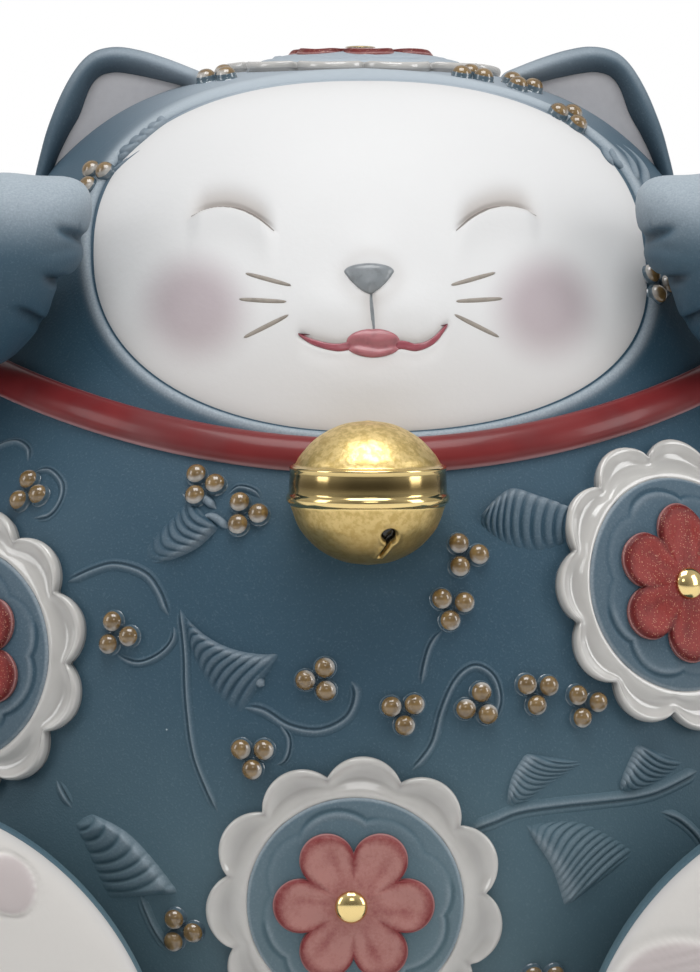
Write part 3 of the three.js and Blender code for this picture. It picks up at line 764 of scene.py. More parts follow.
def face_features():
    """Nose, lips, tongue, eye lines and whiskers, each its own small raised piece."""
    angle = around(64)[None]
    share = np.linspace(0.03, 1, 16)[:, None]
    c, up = np.cos(angle), np.sin(angle)
    wide = np.where(up > 0, c, np.sign(c) * np.abs(c) ** 1.3)
    tall = np.where(up > 0, 1.30 * np.abs(up) ** 0.85, -3.8 * np.abs(up) ** 1.75)
    crowned = 1.35 * np.sqrt(1 - share**2.4) - 0.25 + 0 * angle
    nose = on_face(0.55 + 4.3 * share * wide, 153.5 + share * tall, crowned)
    Clay().add(nose).fired("nose", NOSE_GREY, "white_bisque")
    line = Clay()
    drawn_line(line, [(0.9, 150.9), (0.85, 148.6), (1.3, 143.2)], 0.42, 0.06)
    line.fired("philtrum_line", NOSE_GREY, "white_bisque")
    lips = Clay()
    drawn_line(lips, MOUTH, 0.72, 0.46, 120, 0.55)
    lips.fired("lips", MOUTH_RED, "burgundy_glaze")
    wide = 4.7 * np.abs(np.cos(angle)) ** 1.15 * np.sign(np.cos(angle))
    tall = np.where(np.sin(angle) > 0, 2.6, 2.3) * np.abs(np.sin(angle)) ** 0.9 * np.sign(np.sin(angle))
    tongue = on_face(1.1 + wide * share, 141.6 + tall * share, 0.95 * np.sqrt(1 - share**3) - 0.2 + 0 * angle)
    Clay().add(tongue).fired("tongue", TONGUE_PINK, "rose_enamel")
    eyes, whiskers = Clay(), Clay()
    strokes = [((13.4, 151.3), (20.9, 153.2)), ((14.2, 148.6), (22.0, 148.9)), ((13.9, 146.4), (21.4, 142.6))]
    for side in (-1, 1):
        at = np.linspace(15.3, 29.2, 9)
        arc = np.stack([EYE_X + side * at, np.polyval(EYE_ARC, at) + 0.12], 1)
        drawn_line(eyes, arc, 0.52, 0.12, 90)
        for start, end in strokes:
            ends = [(NOSE_X + side * start[0], start[1]), (NOSE_X + side * end[0], end[1])]
            drawn_line(whiskers, np.linspace(*ends, 5), 0.42, 0.16, 24, 0.35)
    eyes.fired("eye_lines", EYE_LINE, "white_bisque")
    whiskers.fired("whiskers", LINE_GREY, "white_bisque")


# ---- ears ----

EAR_FRONT_Y = -10.0
EAR_OUTLINE = [(50.0, 158.0), (54.5, 161.0), (57.0, 165.5), (55.3, 174.5), (53.1, 181.0), (50.7, 186.0)]
EAR_OUTLINE += [(48.2, 189.5), (45.6, 191.3), (42.0, 191.9), (38.0, 191.3), (34.0, 190.1), (30.0, 188.6)]
EAR_OUTLINE += [(26.6, 187.0), (26.2, 185.0), (29.0, 181.0), (38.0, 169.5)]
EAR_MIDDLE = np.array([43.5, 178.0])
EAR_SECTION = [(9.0, 2.4), (6.0, 2.4), (4.9, 2.4), (4.4, 2.0), (3.9, 1.25), (3.2, 0.62), (2.3, 0.16)]
EAR_SECTION += [(1.5, 0.0), (0.8, 0.32), (0.25, 1.1), (0.0, 2.4), (0.0, 7.0), (0.2, 11.0), (1.2, 14.2)]
EAR_SECTION += [(3.0, 16.2), (6.0, 17.0)]


def ears():
    """Each ear is its outline drawn inwards by a distance at every depth behind its front, so that a rounded
    rim runs round a shallow hollow; a flat plate lies in the hollow."""
    closed = smooth_line([*EAR_OUTLINE, EAR_OUTLINE[0]], 181)[:-1]
    away = closed - EAR_MIDDLE
    radius = np.linalg.norm(away, axis=1)
    section = smooth_line(EAR_SECTION, 52)
    share = 1 - section[:, :1] / radius[None]
    for name, side in (("right", 1), ("left", -1)):
        x = side * (EAR_MIDDLE[0] + away[None, :, 0] * share)
        z = EAR_MIDDLE[1] + away[None, :, 1] * share
        y = EAR_FRONT_Y + section[:, 1:] + 0 * x
        # Painted light: the rim's upper edge is painted paler as painted highlight, and its slope into the
        # hollow darker as painted shade.
        lit_crest = 0.5 * bump(section[:, :1] - 0.6, 0.8) * (section[:, 1:] < 2)
        relief = (lit_crest + 0 * x) * ease(z, 176.0, 192.0)
        hollow = -0.55 * bump(section[:, :1] - 4.0, 1.6) * (section[:, 1:] < 3) + 0 * x
        rim = Clay().add(np.stack([x, y, z], -1), relief=relief + hollow)
        rim.fired_as(f"ear_{name}", EAR_BLUE, "pale_blue_bisque")
        inset = 1 - np.array([7.0, 4.6, 4.4, 4.4])[:, None] / radius[None]
        deep = np.array([1.75, 1.85, 2.1, 3.6])[:, None]
        x = side * (EAR_MIDDLE[0] + away[None, :, 0] * inset)
        z = EAR_MIDDLE[1] + away[None, :, 1] * inset
        plate = Clay().add(np.stack([x, EAR_FRONT_Y + deep + 0 * x, z], -1))
        plate.fired_as(f"ear_inlay_{name}", INLAY, "rose_grey_bisque")

# ---- limbs ----

PAW_RADIUS = 13.3
SHOULDER_RADIUS = 16.0
ARM_ROUTE = [(82.0, -8.0, 100.0), (92.0, -18.0, 122.0), (84.0, -38.0, 146.0), (60.8, -52.0, 157.5)]
PAW_MIDDLE = (60.9, 156.2)
TOE_CREASES = [((47.5, 159.9), (53.6, 162.6)), ((50.6, 151.8), (56.0, 154.0)), ((55.8, 145.4), (61.0, 149.0))]


def arms():
    """A tube along a curve, thick at the shoulder, closed by a dome at each end: radius times
    sqrt(1 - (1 - d / r)^2) within r of an end. Creases between the toes are cut into the paw's front."""
    rows, columns = 170, 128
    line = smooth_line(ARM_ROUTE, 400)
    length = np.sum(np.linalg.norm(np.diff(line, axis=0), axis=1))
    total = length + SHOULDER_RADIUS + PAW_RADIUS
    along = 0.5 - 0.5 * np.cos(np.linspace(0.015, 0.985, rows) * np.pi)
    radius = SHOULDER_RADIUS + (PAW_RADIUS - SHOULDER_RADIUS) * along
    radius = radius + 1.2 * bump((along - 0.83) * total, 9.0)
    from_start = np.minimum(along * total, SHOULDER_RADIUS) / SHOULDER_RADIUS
    from_end = np.minimum((1 - along) * total, PAW_RADIUS) / PAW_RADIUS
    size = radius * np.sqrt(1 - (1 - from_start) ** 2) * np.sqrt(1 - (1 - from_end) ** 2)
    reach = along * total - SHOULDER_RADIUS
    at = np.clip(reach / length, 0, 1) * (len(line) - 1)
    tangents = np.gradient(line, axis=0)
    tangents = tangents / np.linalg.norm(tangents, axis=1, keepdims=True)
    pick = lambda table: np.stack([np.interp(at, np.arange(len(line)), c) for c in table.T], 1)
    tangent = pick(tangents)
    over = reach - np.clip(reach, 0, length)
    centre = pick(line) + tangent * over[:, None]
    sideways = np.cross([0.0, 1.0, 0.0], tangent)
    sideways = sideways / np.linalg.norm(sideways, axis=1, keepdims=True)
    across = np.cross(tangent, sideways)
    angle = around(columns)[None, :, None]
    out = sideways[:, None] * np.cos(angle) + across[:, None] * np.sin(angle)
    grid = centre[:, None] + out * size[:, None, None]
    x, z = grid[..., 0] - PAW_MIDDLE[0], grid[..., 2] - PAW_MIDDLE[1]
    way = np.degrees(np.arctan2(z, -x))
    swell = 3.4 * bump(way - 44, 20) - 3.6 * bump(way + 32, 28) + 2.2 * bump(way + 100, 22)
    swell = (swell - 0.8 * bump(way - 13, 7) - 0.8 * bump(way + 20, 7)) * ease(along, 0.62, 0.80)[:, None]
    swell = swell * np.clip(np.hypot(x, z) / PAW_RADIUS, 0, 1.1) ** 2 / np.maximum(np.hypot(x, z), 0.1)
    grid = grid + np.stack([swell * x, 0 * x, swell * z], -1)
    x, z = grid[..., 0], grid[..., 2]
    facing = ease(-grid[..., 1], 46.0, 54.0)
    groove = np.zeros_like(x)
    for start, end in TOE_CREASES:
        step = np.subtract(end, start)
        run = ((x - start[0]) * step[0] + (z - start[1]) * step[1]) / (step @ step)
        aside = ((z - start[1]) * step[0] - (x - start[0]) * step[1]) / math.hypot(*step)
        groove = np.maximum(groove, bump(aside, 0.85) * ease(run, -1.2, -0.4) * (1 - ease(run, 0.35, 1.05)))
    outward = out + tangent[:, None] * ease(along, 0.9, 1.0)[:, None, None] * 1.5
    outward = outward / np.linalg.norm(outward, axis=-1, keepdims=True)
    grid = grid - outward * (1.5 * groove * facing)[..., None]
    # Painted light: the paw's top is painted paler as painted highlight from above, and the creases between
    # the toes darker as painted shade.
    top = ease(z, 156.0, 172.0) * ease(along, 0.5, 0.7)[:, None]
    for name, side in (("right", 1), ("left", -1)):
        clay = Clay().add(grid * [side, 1, 1], relief=1.1 * top - 0.8 * groove * facing)
        clay.fired_as(f"arm_{name}", BLUE, "blue_bisque")


SOLE_CENTRE = np.array([66.0, -90.0, 33.8])
SOLE_LONG = 38.0
SOLE_SHORT = 25.2
SOLE_TILT = math.radians(50)
LEG_LENGTH = 46.0


def on_foot(side, u, v, forward):
    """u along the foot towards the toes, v across it, and a distance forwards of the sole's centre."""
    along = np.array([side * math.cos(SOLE_TILT), 0, math.sin(SOLE_TILT)])
    across = np.cross([0.0, -1.0, 0.0], along)
    u, v, forward = np.broadcast_arrays(u, v, forward)
    place = u[..., None] * along + v[..., None] * across + forward[..., None] * np.array([0.0, -1.0, 0.0])
    return place + SOLE_CENTRE * [side, 1, 1]


PADS = [(-11.0, 8.0, 12.5, 13.5), (13.5, 8.0, 5.6, 4.4), (22.5, 1.0, 6.0, 4.4), (21.5, -9.0, 6.0, 4.4)]
PADS += [(12.0, -16.0, 5.6, 4.4)]


def legs():
    """Barrel with an elliptical section that closes behind in a dome, and a pillow for the sole with one
    large pad, finely scored, and four toe pads."""
    angle = around(160)[None]
    barrel = smooth_line([(0.06, -0.999), (0.45, -0.9), (0.78, -0.62), (0.95, -0.3), (1.0, -0.08)], 60)
    barrel = np.vstack([barrel, [(0.995, -0.03), (0.975, -0.006), (0.95, 0.0), (0.90, 0.0)]])
    share = barrel[:, :1]
    for name, side in (("right", 1), ("left", -1)):
        u, v = SOLE_LONG * share * np.cos(angle), SOLE_SHORT * share * np.sin(angle)
        leg = on_foot(side, u, v, barrel[:, 1:] * LEG_LENGTH)
        Clay().add(leg).fired_as(f"leg_{name}", BLUE, "blue_bisque")
        reach = rolled_shares(0.01, 0.87, 0.98, 84, 0.1)[:, None]
        ring = around(220)[None]
        u, v = SOLE_LONG * reach * np.cos(ring), SOLE_SHORT * reach * np.sin(ring)
        height = 0.4 + 4.5 * np.sqrt(np.maximum(1 - (reach / 0.985) ** 3.0, 0)) + 0 * ring
        # Painted shade: the sole is painted greyer along its rolled edge.
        pad, shade = np.zeros_like(height), 0.55 * bump(reach - 1.0, 0.06) + 0 * ring
        for k, (pu, pv, half_u, half_v) in enumerate(PADS):
            q = np.hypot((u - pu) / half_u, (v - pv) / half_v)
            body = np.sqrt(np.clip(1 - q**3, 0, 1))
            pad = np.maximum(pad, (1 - ease(q, 0.90, 1.02)))
            height = height + 0.75 * body - 0.35 * bump(q - 1.05, 0.07)
            if k == 0:
                height = height + 0.10 * body * np.sin((u * 0.6 + v * 0.8) * 2 * np.pi / 1.7)
        face = on_foot(side, u, v, height)
        back = on_foot(side, 0.9 * SOLE_LONG * np.cos(ring), 0.9 * SOLE_SHORT * np.sin(ring), 0.3)
        tops = (on_foot(side, 0.0, 0.0, height[0].mean()), on_foot(side, 0.0, 0.0, 0.3))
        none = np.zeros_like(height[:1])
        Clay().add(
            np.concatenate([face, back]),
            closing=tops,
            pad=np.concatenate([pad * 0.85, none]),
            shade=np.concatenate([shade, none]),
        ).fired_as(f"sole_{name}", SOLE, "white_bisque")


TAIL_RADIUS = 16.5
TAIL_CENTRE = np.array([0.0, 79.7, 40.0])


def tail():
    """Bobtail: a ball whose radius swells and sinks softly along spiral tufts."""
    up = np.linspace(0.02, 0.98, 90)[:, None] * np.pi
    turn = around(140)[None]
    tuft = np.cos(5 * turn + 3.2 * np.cos(up)) * np.sin(up)
    radius = TAIL_RADIUS + 0.5 * tuft
    flat = radius * np.sin(up)
    point = [flat * np.cos(turn), radius * np.cos(up) + 0 * turn, flat * np.sin(turn)]
    grid = np.stack(point, -1) + TAIL_CENTRE
    # Painted light: the tufts' swells are painted paler as painted highlight and their dips darker as painted
    # shade.
    Clay().add(grid, relief=0.25 * tuft).fired_as("tail", BLUE, "blue_bisque")


# ---- collar and bell ----


def collar():
    """Half-round band along the collar line: a flattened cosine high and a sine wide, on the skin."""
    turn = around(360)[None]
    angle = np.linspace(-np.pi / 2, np.pi / 2, 26)[:, None]
    flat = 0.80 * np.cos(angle) ** 0.75 + 0.20 * np.cos(angle)
    offset, height = COLLAR_HALF_WIDTH * np.sin(angle), COLLAR_HEIGHT * flat - 0.1
    band = skin(turn, collar_line(turn) + offset, height + 0 * turn)
    edge = ease(np.abs(np.sin(angle)), 0.90, 1.0) + 0 * turn
    under = skin(turn, collar_line(turn) + np.array([[2.6], [-2.6]]), -0.3)
    grid = np.concatenate([band, under])
    edge = np.concatenate([edge, np.ones((2, 360))])
    Clay().add(grid, rows_run_round=True, edge=edge).fired(
        "fired_collar", BURGUNDY, "burgundy_glaze", ["collar_band"]
    )


BELL_CENTRE = np.array([-0.5, -83.5, 118.2])
BELL_RADIUS = 13.2
BELL_HALF_HEIGHT = 12.2
BELL_SECTION = [(0.02, -1.0), (0.34, -0.94), (0.64, -0.77), (0.87, -0.50), (0.975, -0.22), (0.990, -0.17)]
BELL_BAND = [(1.002, -0.155), (1.032, -0.13), (1.048, -0.08), (1.038, -0.03), (1.016, 0.0), (1.012, 0.03)]
BELL_BAND += [(1.010, 0.12), (1.004, 0.22), (0.996, 0.29), (1.000, 0.32), (1.006, 0.345)]
BELL_BAND += [(0.995, 0.37), (0.965, 0.38)]
BELL_TOP = [(0.930, 0.40), (0.85, 0.54), (0.64, 0.77), (0.34, 0.94), (0.02, 1.0)]
HOLE_X, HOLE_Z = 3.3, -6.6


def bell():
    """Turned shell: two domes and a band with a bead above and below, and a keyhole slot pressed in."""
    parts = ((BELL_SECTION, 110), (BELL_BAND, 44), (BELL_TOP, 80))
    section = np.vstack([smooth_line(points, rows) for points, rows in parts])
    turn = around(280)[None]
    radius, rise = BELL_RADIUS * section[:, :1], BELL_HALF_HEIGHT * section[:, 1:]
    x, y, z = radius * np.sin(turn), -radius * np.cos(turn), rise + 0 * turn
    hole = np.hypot(x - HOLE_X, z - HOLE_Z) - 1.25
    down = np.clip((HOLE_Z - z) / 4.0, 0, 1)
    slit = np.abs(x - (HOLE_X + 0.5 - 2.3 * down**1.3)) - (0.42 - 0.22 * down)
    slit = np.where((z < HOLE_Z) & (z > HOLE_Z - 4.0), slit, 9.0)
    inside = (1 - ease(np.minimum(hole, slit), -0.12, 0.22)) * (y < 0)
    lip = 0.22 * bump(np.minimum(hole, slit) - 0.4, 0.35) * (y < 0)
    shrink = 1 - (1.6 * inside - lip) / BELL_RADIUS
    grid = np.stack([x * shrink, y * shrink, z * shrink], -1) + BELL_CENTRE
    worked = (1 - ease(section[:, 1:], -0.20, -0.15) + ease(section[:, 1:], 0.37, 0.41)) * (1 - inside)
    # Painted light: the slot mark paints the keyhole black as painted shade for the bell's dark inside, and
    # the band mark paints a dark painted reflection round the band.
    band = bump(section[:, 1:] - 0.15, 0.15) + 0 * turn
    Clay().add(grid, worked=worked, slot=inside, band=band).fired_as("bell", GOLD, "gold_lustre")


# ---- ornaments ----

DISC_RADIUS = 18.3
SCALLOPS = (11, 18.25, 6.85)
PETALS = (6, 8.8, 4.6)
STUD_RADIUS = 2.7
BEAD_RADIUS = 1.85
BEAD_SPREAD = 2.25
# SCALLOPS and PETALS are a number of lobes, their middles' distance and their radius. Each medallion's
# place is a turn, a height and a roll; its last number turns the scallops, in radians.
MEDALLIONS = {
    "belly": (-2, 48.5, 0, 0.213),
    "right": (35.3, 101, 0, 0.335),
    "left": (-46.4, 88.5, 10, -0.118),
    "crown": (173, 187.8, 15, 0.0),
    "back_left": (-132, 92, 25, 0.1),
    "back_right": (138, 74, 5, 0.2),
}
BEAD_CLUSTERS = [(-66, 186.4, 10), (-56, 169.5, 30), (54, 186.6, 40), (63.5, 184.9, 70), (57, 179.5, 20)]
BEAD_CLUSTERS += [(49.5, 151, 115), (-41, 116.5, 110), (-19, 118.6, 5), (-13.6, 114, 0), (10.2, 107.2, 0)]
BEAD_CLUSTERS += [(8.5, 98.5, 20), (-27, 93.5, -8), (-5.3, 86.5, 63), (3.3, 81, 35), (11, 82, 76)]
BEAD_CLUSTERS += [(17.3, 84, 25), (22.6, 81.5, 10), (-12, 73.5, 30), (-19.7, 43.5, -5), (18.5, 34.5, 30)]


def lobes(angle, number, centre, radius):
    """Outline of circles in a ring, seen from the middle: c cos b + sqrt(r^2 - c^2 sin^2 b), with b the
    angle from the nearest lobe's own direction."""
    span = 2 * np.pi / number
    b = np.mod(angle + span / 2, span) - span / 2
    return centre * np.cos(b) + np.sqrt(np.maximum(radius**2 - (centre * np.sin(b)) ** 2, 0)), b / (span / 2)


def round_patch(place, reach, angle, height, u=0.0, v=0.0):
    """Rings about (u, v) of a place's plane, laid on the skin."""
    return laid(place, u + reach * np.cos(angle), v + reach * np.sin(angle), height)


def scalloped_ring(name, anchor, scallop_turn, shift, swell):
    """Glossy ring with a dish pressed in every scallop and a pinch between each two."""
    angle = around(440)[None]
    edge, in_lobe = lobes(angle + scallop_turn, *SCALLOPS)
    section = smooth_line(
        [(0.03, 0.3), (-0.04, 0.8), (-0.03, 1.25), (0.04, 1.55), (0.16, 1.55), (0.36, 1.30), (0.58, 1.35)]
        + [(0.74, 1.85), (0.86, 2.40), (0.945, 2.25), (0.99, 1.6), (0.995, 0.8), (0.97, -0.25)],
        42,
    )
    share, lift = section[:, :1], section[:, 1:]
    dish = (1 - in_lobe**2) * bump(share - 0.50, 0.2)
    pinch = bump(np.abs(in_lobe) - 1, 0.10) * bump(share - 0.85, 0.25)
    top = (lift > 0.6) * 1.0
    height = (lift - top * (0.35 * dish + 0.45 * pinch)) * (1 - 0.2 * swell)
    narrow = 1 - (name == "right") * 0.16 * np.cos(angle) ** 2
    reach = DISC_RADIUS + share * (edge - DISC_RADIUS) * narrow
    ring = round_patch(anchor, reach, angle, height, shift)
    # Painted shade: darker in each dish, at the pinches and under the outer edge.
    relief = -0.40 * dish - 0.5 * pinch - 0.7 * bump(share - 1.0, 0.05) * (lift < 1.0)
    clay = Clay().add(ring, rows_run_round=True, relief=relief + 0 * angle)
    clay.fired_as(f"ring_{name}", IVORY, "ivory_glaze")


def engraved_disc(name, anchor, shift, swell):
    """Domed disc with a broken wavy line engraved near its edge."""
    share = np.concatenate([np.linspace(0.01, 0.93, 62), [0.955, 0.975, 0.99, 1.0, 0.995]])[:, None]
    angle = around(240)[None]
    radius = DISC_RADIUS * share
    wave = 14.6 + 1.5 * np.abs(np.sin(4 * angle + 0.5)) ** 0.7 + 0.5 * np.cos(3 * angle)
    dashes = 0.20 + 0.80 * ease(np.cos(3 * angle + 1.0) + 0.6 * np.cos(7 * angle), -0.5, 0.6)
    line = bump(radius - wave, 0.32) * dashes
    bank = bump(radius - wave + 0.75, 0.5) * dashes
    dome = 2.10 - 0.45 * share**2.4 - 1.0 * ease(share, 0.965, 1.03)
    height = dome + 0.24 * bank - 0.30 * line + swell * (1 - share**2)
    height[-1] = 0.0
    disc = round_patch(anchor, radius, angle, height, shift)
    # Painted light: the engraved line is painted darker as painted shade, its bank and the disc's rim paler
    # as painted highlight, and the outer part a little paler.
    relief = 0.26 * bank - 0.40 * line + 0.75 * bump(share - 0.985, 0.014) + 0.16 * ease(share, 0.45, 0.95)
    Clay().add(disc, relief=relief).fired_as(f"disc_{name}", BLUE, "blue_bisque")


def flower(name, anchor, shift, swell, glaze, slot):
    """Six cupped petals with folds between them and a pale rim."""
    angle = around(300)[None]
    turned = angle + np.pi / 6 * (name != "belly")
    edge, in_lobe = lobes(turned, *PETALS)
    share = np.concatenate([np.linspace(0.02, 0.93, 40), [0.955, 0.975, 0.99, 1.0, 0.99]])[:, None]
    radius = share * edge
    fold = bump(np.abs(in_lobe) - 1, 0.20) * ease(share, 0.35, 0.75)
    cup = (1 - in_lobe**2) * bump(share - 0.62, 0.26)
    height = 2.95 + 0.35 * ease(share, 0.55, 0.90) - 0.85 * ease(share, 0.93, 1.01) - 0.30 * cup - 0.35 * fold
    height = height + 0.08 * np.sin(9 * turned + 7 * share) * share
    height = height + swell * (0.45 - 0.5 * (radius / DISC_RADIUS) ** 2)
    height[-1] = 1.6
    petals = round_patch(anchor, radius, angle, height, 0.6 * shift)
    # Painted shade: darker in the folds between petals, round the stud and in a patch on each petal; the
    # deeper colour at the rims is the enamel's own.
    deep_colour_and_shade = 0.9 * ease(share, 0.80, 0.97) + 0.75 * fold * (share < 0.97) + 0.35 * bump(share - 0.30, 0.14)
    deep_colour_and_shade = deep_colour_and_shade + 0.5 * bump(np.mod(in_lobe + 1.25, 2) - 1, 0.22) * bump(share - 0.6, 0.2)
    rim = 0.6 * bump(share - 0.990, 0.010) + 0 * angle
    Clay().add(petals, edge=deep_colour_and_shade, rim=rim).fired_as(f"flower_{name}", glaze, slot)


def stud(name, anchor, swell):
    """Half ball at the middle of the flower."""
    share = np.sin(np.linspace(0.03, 1, 16) * np.pi / 2)[:, None]
    angle = around(40)[None]
    height = 2.95 + (1.6 - swell) * np.sqrt(1 - share**2) + 0.6 * swell + 0 * angle
    ball = round_patch(anchor, STUD_RADIUS * share, angle, height)
    Clay().add(ball).fired_as(f"stud_{name}", GOLD, "gold_lustre")


def medallion(name, turn, z, roll, scallop_turn):
    """Ring, disc, flower and stud, laid on the skin one over the other. The belly's is a little off its own
    middle, and the crown's swells upwards."""
    anchor = Place(turn, z, roll)
    shift = 0.7 if name == "belly" else 0.0
    swell = 1.3 if name == "crown" else 0.0
    enamel = (ROSE, "rose_enamel") if name == "belly" else (DEEP_RED, "deep_red_enamel")
    scalloped_ring(name, anchor, scallop_turn, shift, swell)
    engraved_disc(name, anchor, shift, swell)
    flower(name, anchor, shift, swell, *enamel)
    stud(name, anchor, swell)


def bead(clay, anchor, u, v):
    """A drop of glaze over a slip ball: a dome with a rounded foot. Painted pale on its lower side, as
    painted light gathered through the glaze.
    """
    angle = around(32)[None]
    share = np.array([0.04, 0.16, 0.3, 0.44, 0.57, 0.68, 0.77, 0.85, 0.92, 0.97, 1.0, 1.08, 1.25])[:, None]
    height = 2.05 * np.sqrt(np.maximum(1 - np.minimum(share, 1) ** 2.3, 0)) + 0.15
    height = np.where(share > 1.0, 0.15 - 1.6 * (share - 1.0), height)
    reach = BEAD_RADIUS * share
    base = ease(share, 0.86, 0.97) + 0 * angle
    turn = angle - np.arctan2(anchor.right[2], anchor.up[2])
    # Painted light: pale on each bead's lower side.
    milk = ease(-np.sin(turn), 0.25, 0.85) * ease(share, 0.52, 0.80)
    grid = round_patch(anchor, reach, angle, height + 0 * angle, u, v)
    clay.add(grid, milk=milk, base=base)


def bead_clusters():
    """Three beads to a cluster, a third of a turn apart about its middle."""
    for number, place in enumerate(BEAD_CLUSTERS, 1):
        clay, anchor = Clay(), Place(*place)
        for third in range(3):
            a = third * 2 * math.pi / 3
            bead(clay, anchor, BEAD_SPREAD * math.cos(a), BEAD_SPREAD * math.sin(a))
        clay.fired(f"fired_beads_{number:02d}", AMBER, "ochre_glaze", [f"bead_cluster_{number:02d}"])


# ---- leaves and vines ----


def leaf(clay, near, far, ribs, slant, bow, height, tail):
    """A comb of curved ribs between two lines of (turn, height). Ribs cross from the near edge, which stands
    up, to the far one, which sinks into the skin; each is a half wave that falls off steeply on one side.
    The leaf rises out of the skin over its tail's share of the length."""
    rows, columns = 14 * ribs, 40
    share, over = np.linspace(0, 1, rows)[:, None], np.linspace(0, 1, columns)[None]
    across = over[..., None]
    path = smooth_line(near, rows)[:, None] * (1 - across) + smooth_line(far, rows)[:, None] * across
    phase = np.mod(ribs * (share + slant * over + bow * 4 * over * (1 - over)) + 0.15 * np.sin(9 * share), 1)
    pleat = 1 - bump(phase, 0.16) - bump(phase - 1, 0.22)
    grown = ease(share, 0.0, tail) * (1 - ease(share, 0.90, 1.0))
    body = ease(over, 0.0, 0.16) * (1 - ease(over, 0.30, 1.0)) ** 0.8
    depth = ease(over, 0.02, 0.12) * (1 - ease(over, 0.75, 1.0))
    lift = height * grown * (0.75 * body + 0.25 * depth * (pleat - 0.5))
    lift = lift - 0.22 * (1 - ease(np.minimum(over, 1 - over), 0.0, 0.08))
    lift = lift - 0.22 * (1 - ease(np.minimum(share, 1 - share), 0, 0.03)) - 0.05
    grid = skin(np.radians(path[..., 0]), path[..., 1], lift)
    # Painted light: the pleats' tops and the standing near edge are painted paler as painted highlight, and
    # each pleat's drop darker as painted shade.
    relief = grown * (0.26 * depth * (pleat - 0.6) + 0.32 * bump(over - 0.12, 0.10) + 0.10 * body)
    below = skin(np.radians(path[rows // 2, columns // 2, 0]), path[rows // 2, columns // 2, 1], -1.5)
    clay.add(grid, columns_run_round=False, closing=below, relief=relief)


def finger(clay, points, width):
    """A soft half-round roll of slip along (turn, height) points: fullest near its end, thin at its start."""
    steps = 40
    path = smooth_line(points, steps)
    turn, z = np.radians(path[:, 0]), path[:, 1]
    centre = skin(turn, z)
    ahead = np.gradient(centre, axis=0)
    ahead = ahead / np.linalg.norm(ahead, axis=1, keepdims=True)
    left = np.cross(skin_normal(turn, z), ahead)
    share = np.linspace(0, 1, steps)[:, None]
    size = width * (0.15 + 0.85 * ease(share, 0.0, 0.6)) * np.sqrt(1 - ease(share, 0.80, 1.0) * 0.97)
    angle = np.linspace(-np.pi / 2, np.pi / 2, 13)[None]
    lift = size / width * np.cos(angle) - 0.2
    grid = landed(centre[:, None] + left[:, None] * (size * np.sin(angle))[..., None], lift)
    # Painted light: the roll's top is painted paler as painted highlight, its sides darker as painted shade.
    relief = 0.55 * np.cos(angle) ** 2 - 0.5 * bump(np.abs(np.sin(angle)) - 1, 0.12) + 0 * share
    clay.add(grid, columns_run_round=False, closing=skin(turn[20], z[20], -1.0), relief=relief)


STEPS_PER_MM = 2.6


def vine(clay, points, ridge, width):
    """A modelled line on the skin: a low bank, a ridge and a sunk groove side by side. ridge above 0 puts the
    high side to the left of the way it runs, below 0 to the right. All offsets and heights are in mm."""
    spans = np.diff(np.asarray(points, float) * [1.5, 1], axis=0)
    steps = max(14, int(STEPS_PER_MM * np.sum(np.linalg.norm(spans, axis=1))))
    path = smooth_line(points, steps)
    turn, z = np.radians(path[:, 0]), path[:, 1]
    centre = skin(turn, z)
    ahead = np.gradient(centre, axis=0)
    ahead = ahead / np.linalg.norm(ahead, axis=1, keepdims=True)
    left = np.cross(skin_normal(turn, z), ahead)
    offset = np.array([-1.9, -1.3, -0.85, -0.50, -0.22, 0.0, 0.22, 0.45, 0.75, 1.10, 1.55, 2.2, 3.0])
    height = np.array([-0.18, 0.08, 0.24, 0.26, 0.10, 0.0, 0.12, 0.42, 0.66, 0.60, 0.36, 0.12, -0.18])
    # Painted light: the groove is painted darker as painted shade and the high bank paler as painted
    # highlight.
    relief = np.array([0.0, 0.0, 0.15, 0.10, -0.7, -1.0, -0.55, 0.35, 0.75, 0.45, 0.15, 0.0, 0.0])
    run = np.linspace(0, 1, steps)[:, None] * steps / STEPS_PER_MM
    taper = ease(np.minimum(run, run[-1] - run), 0.0, 3.2)
    side = left[:, None] * (offset * 0.56 * ridge * width)[None, :, None] * (0.45 + 0.55 * taper)[..., None]
    lift = (0.7 * height[None] + 0.16) * taper - 0.16
    clay.add(landed(centre[:, None] + side, lift), columns_run_round=False, relief=0.6 * relief[None] * taper,
             closing=skin(turn[steps // 2], z[steps // 2], -1.0))


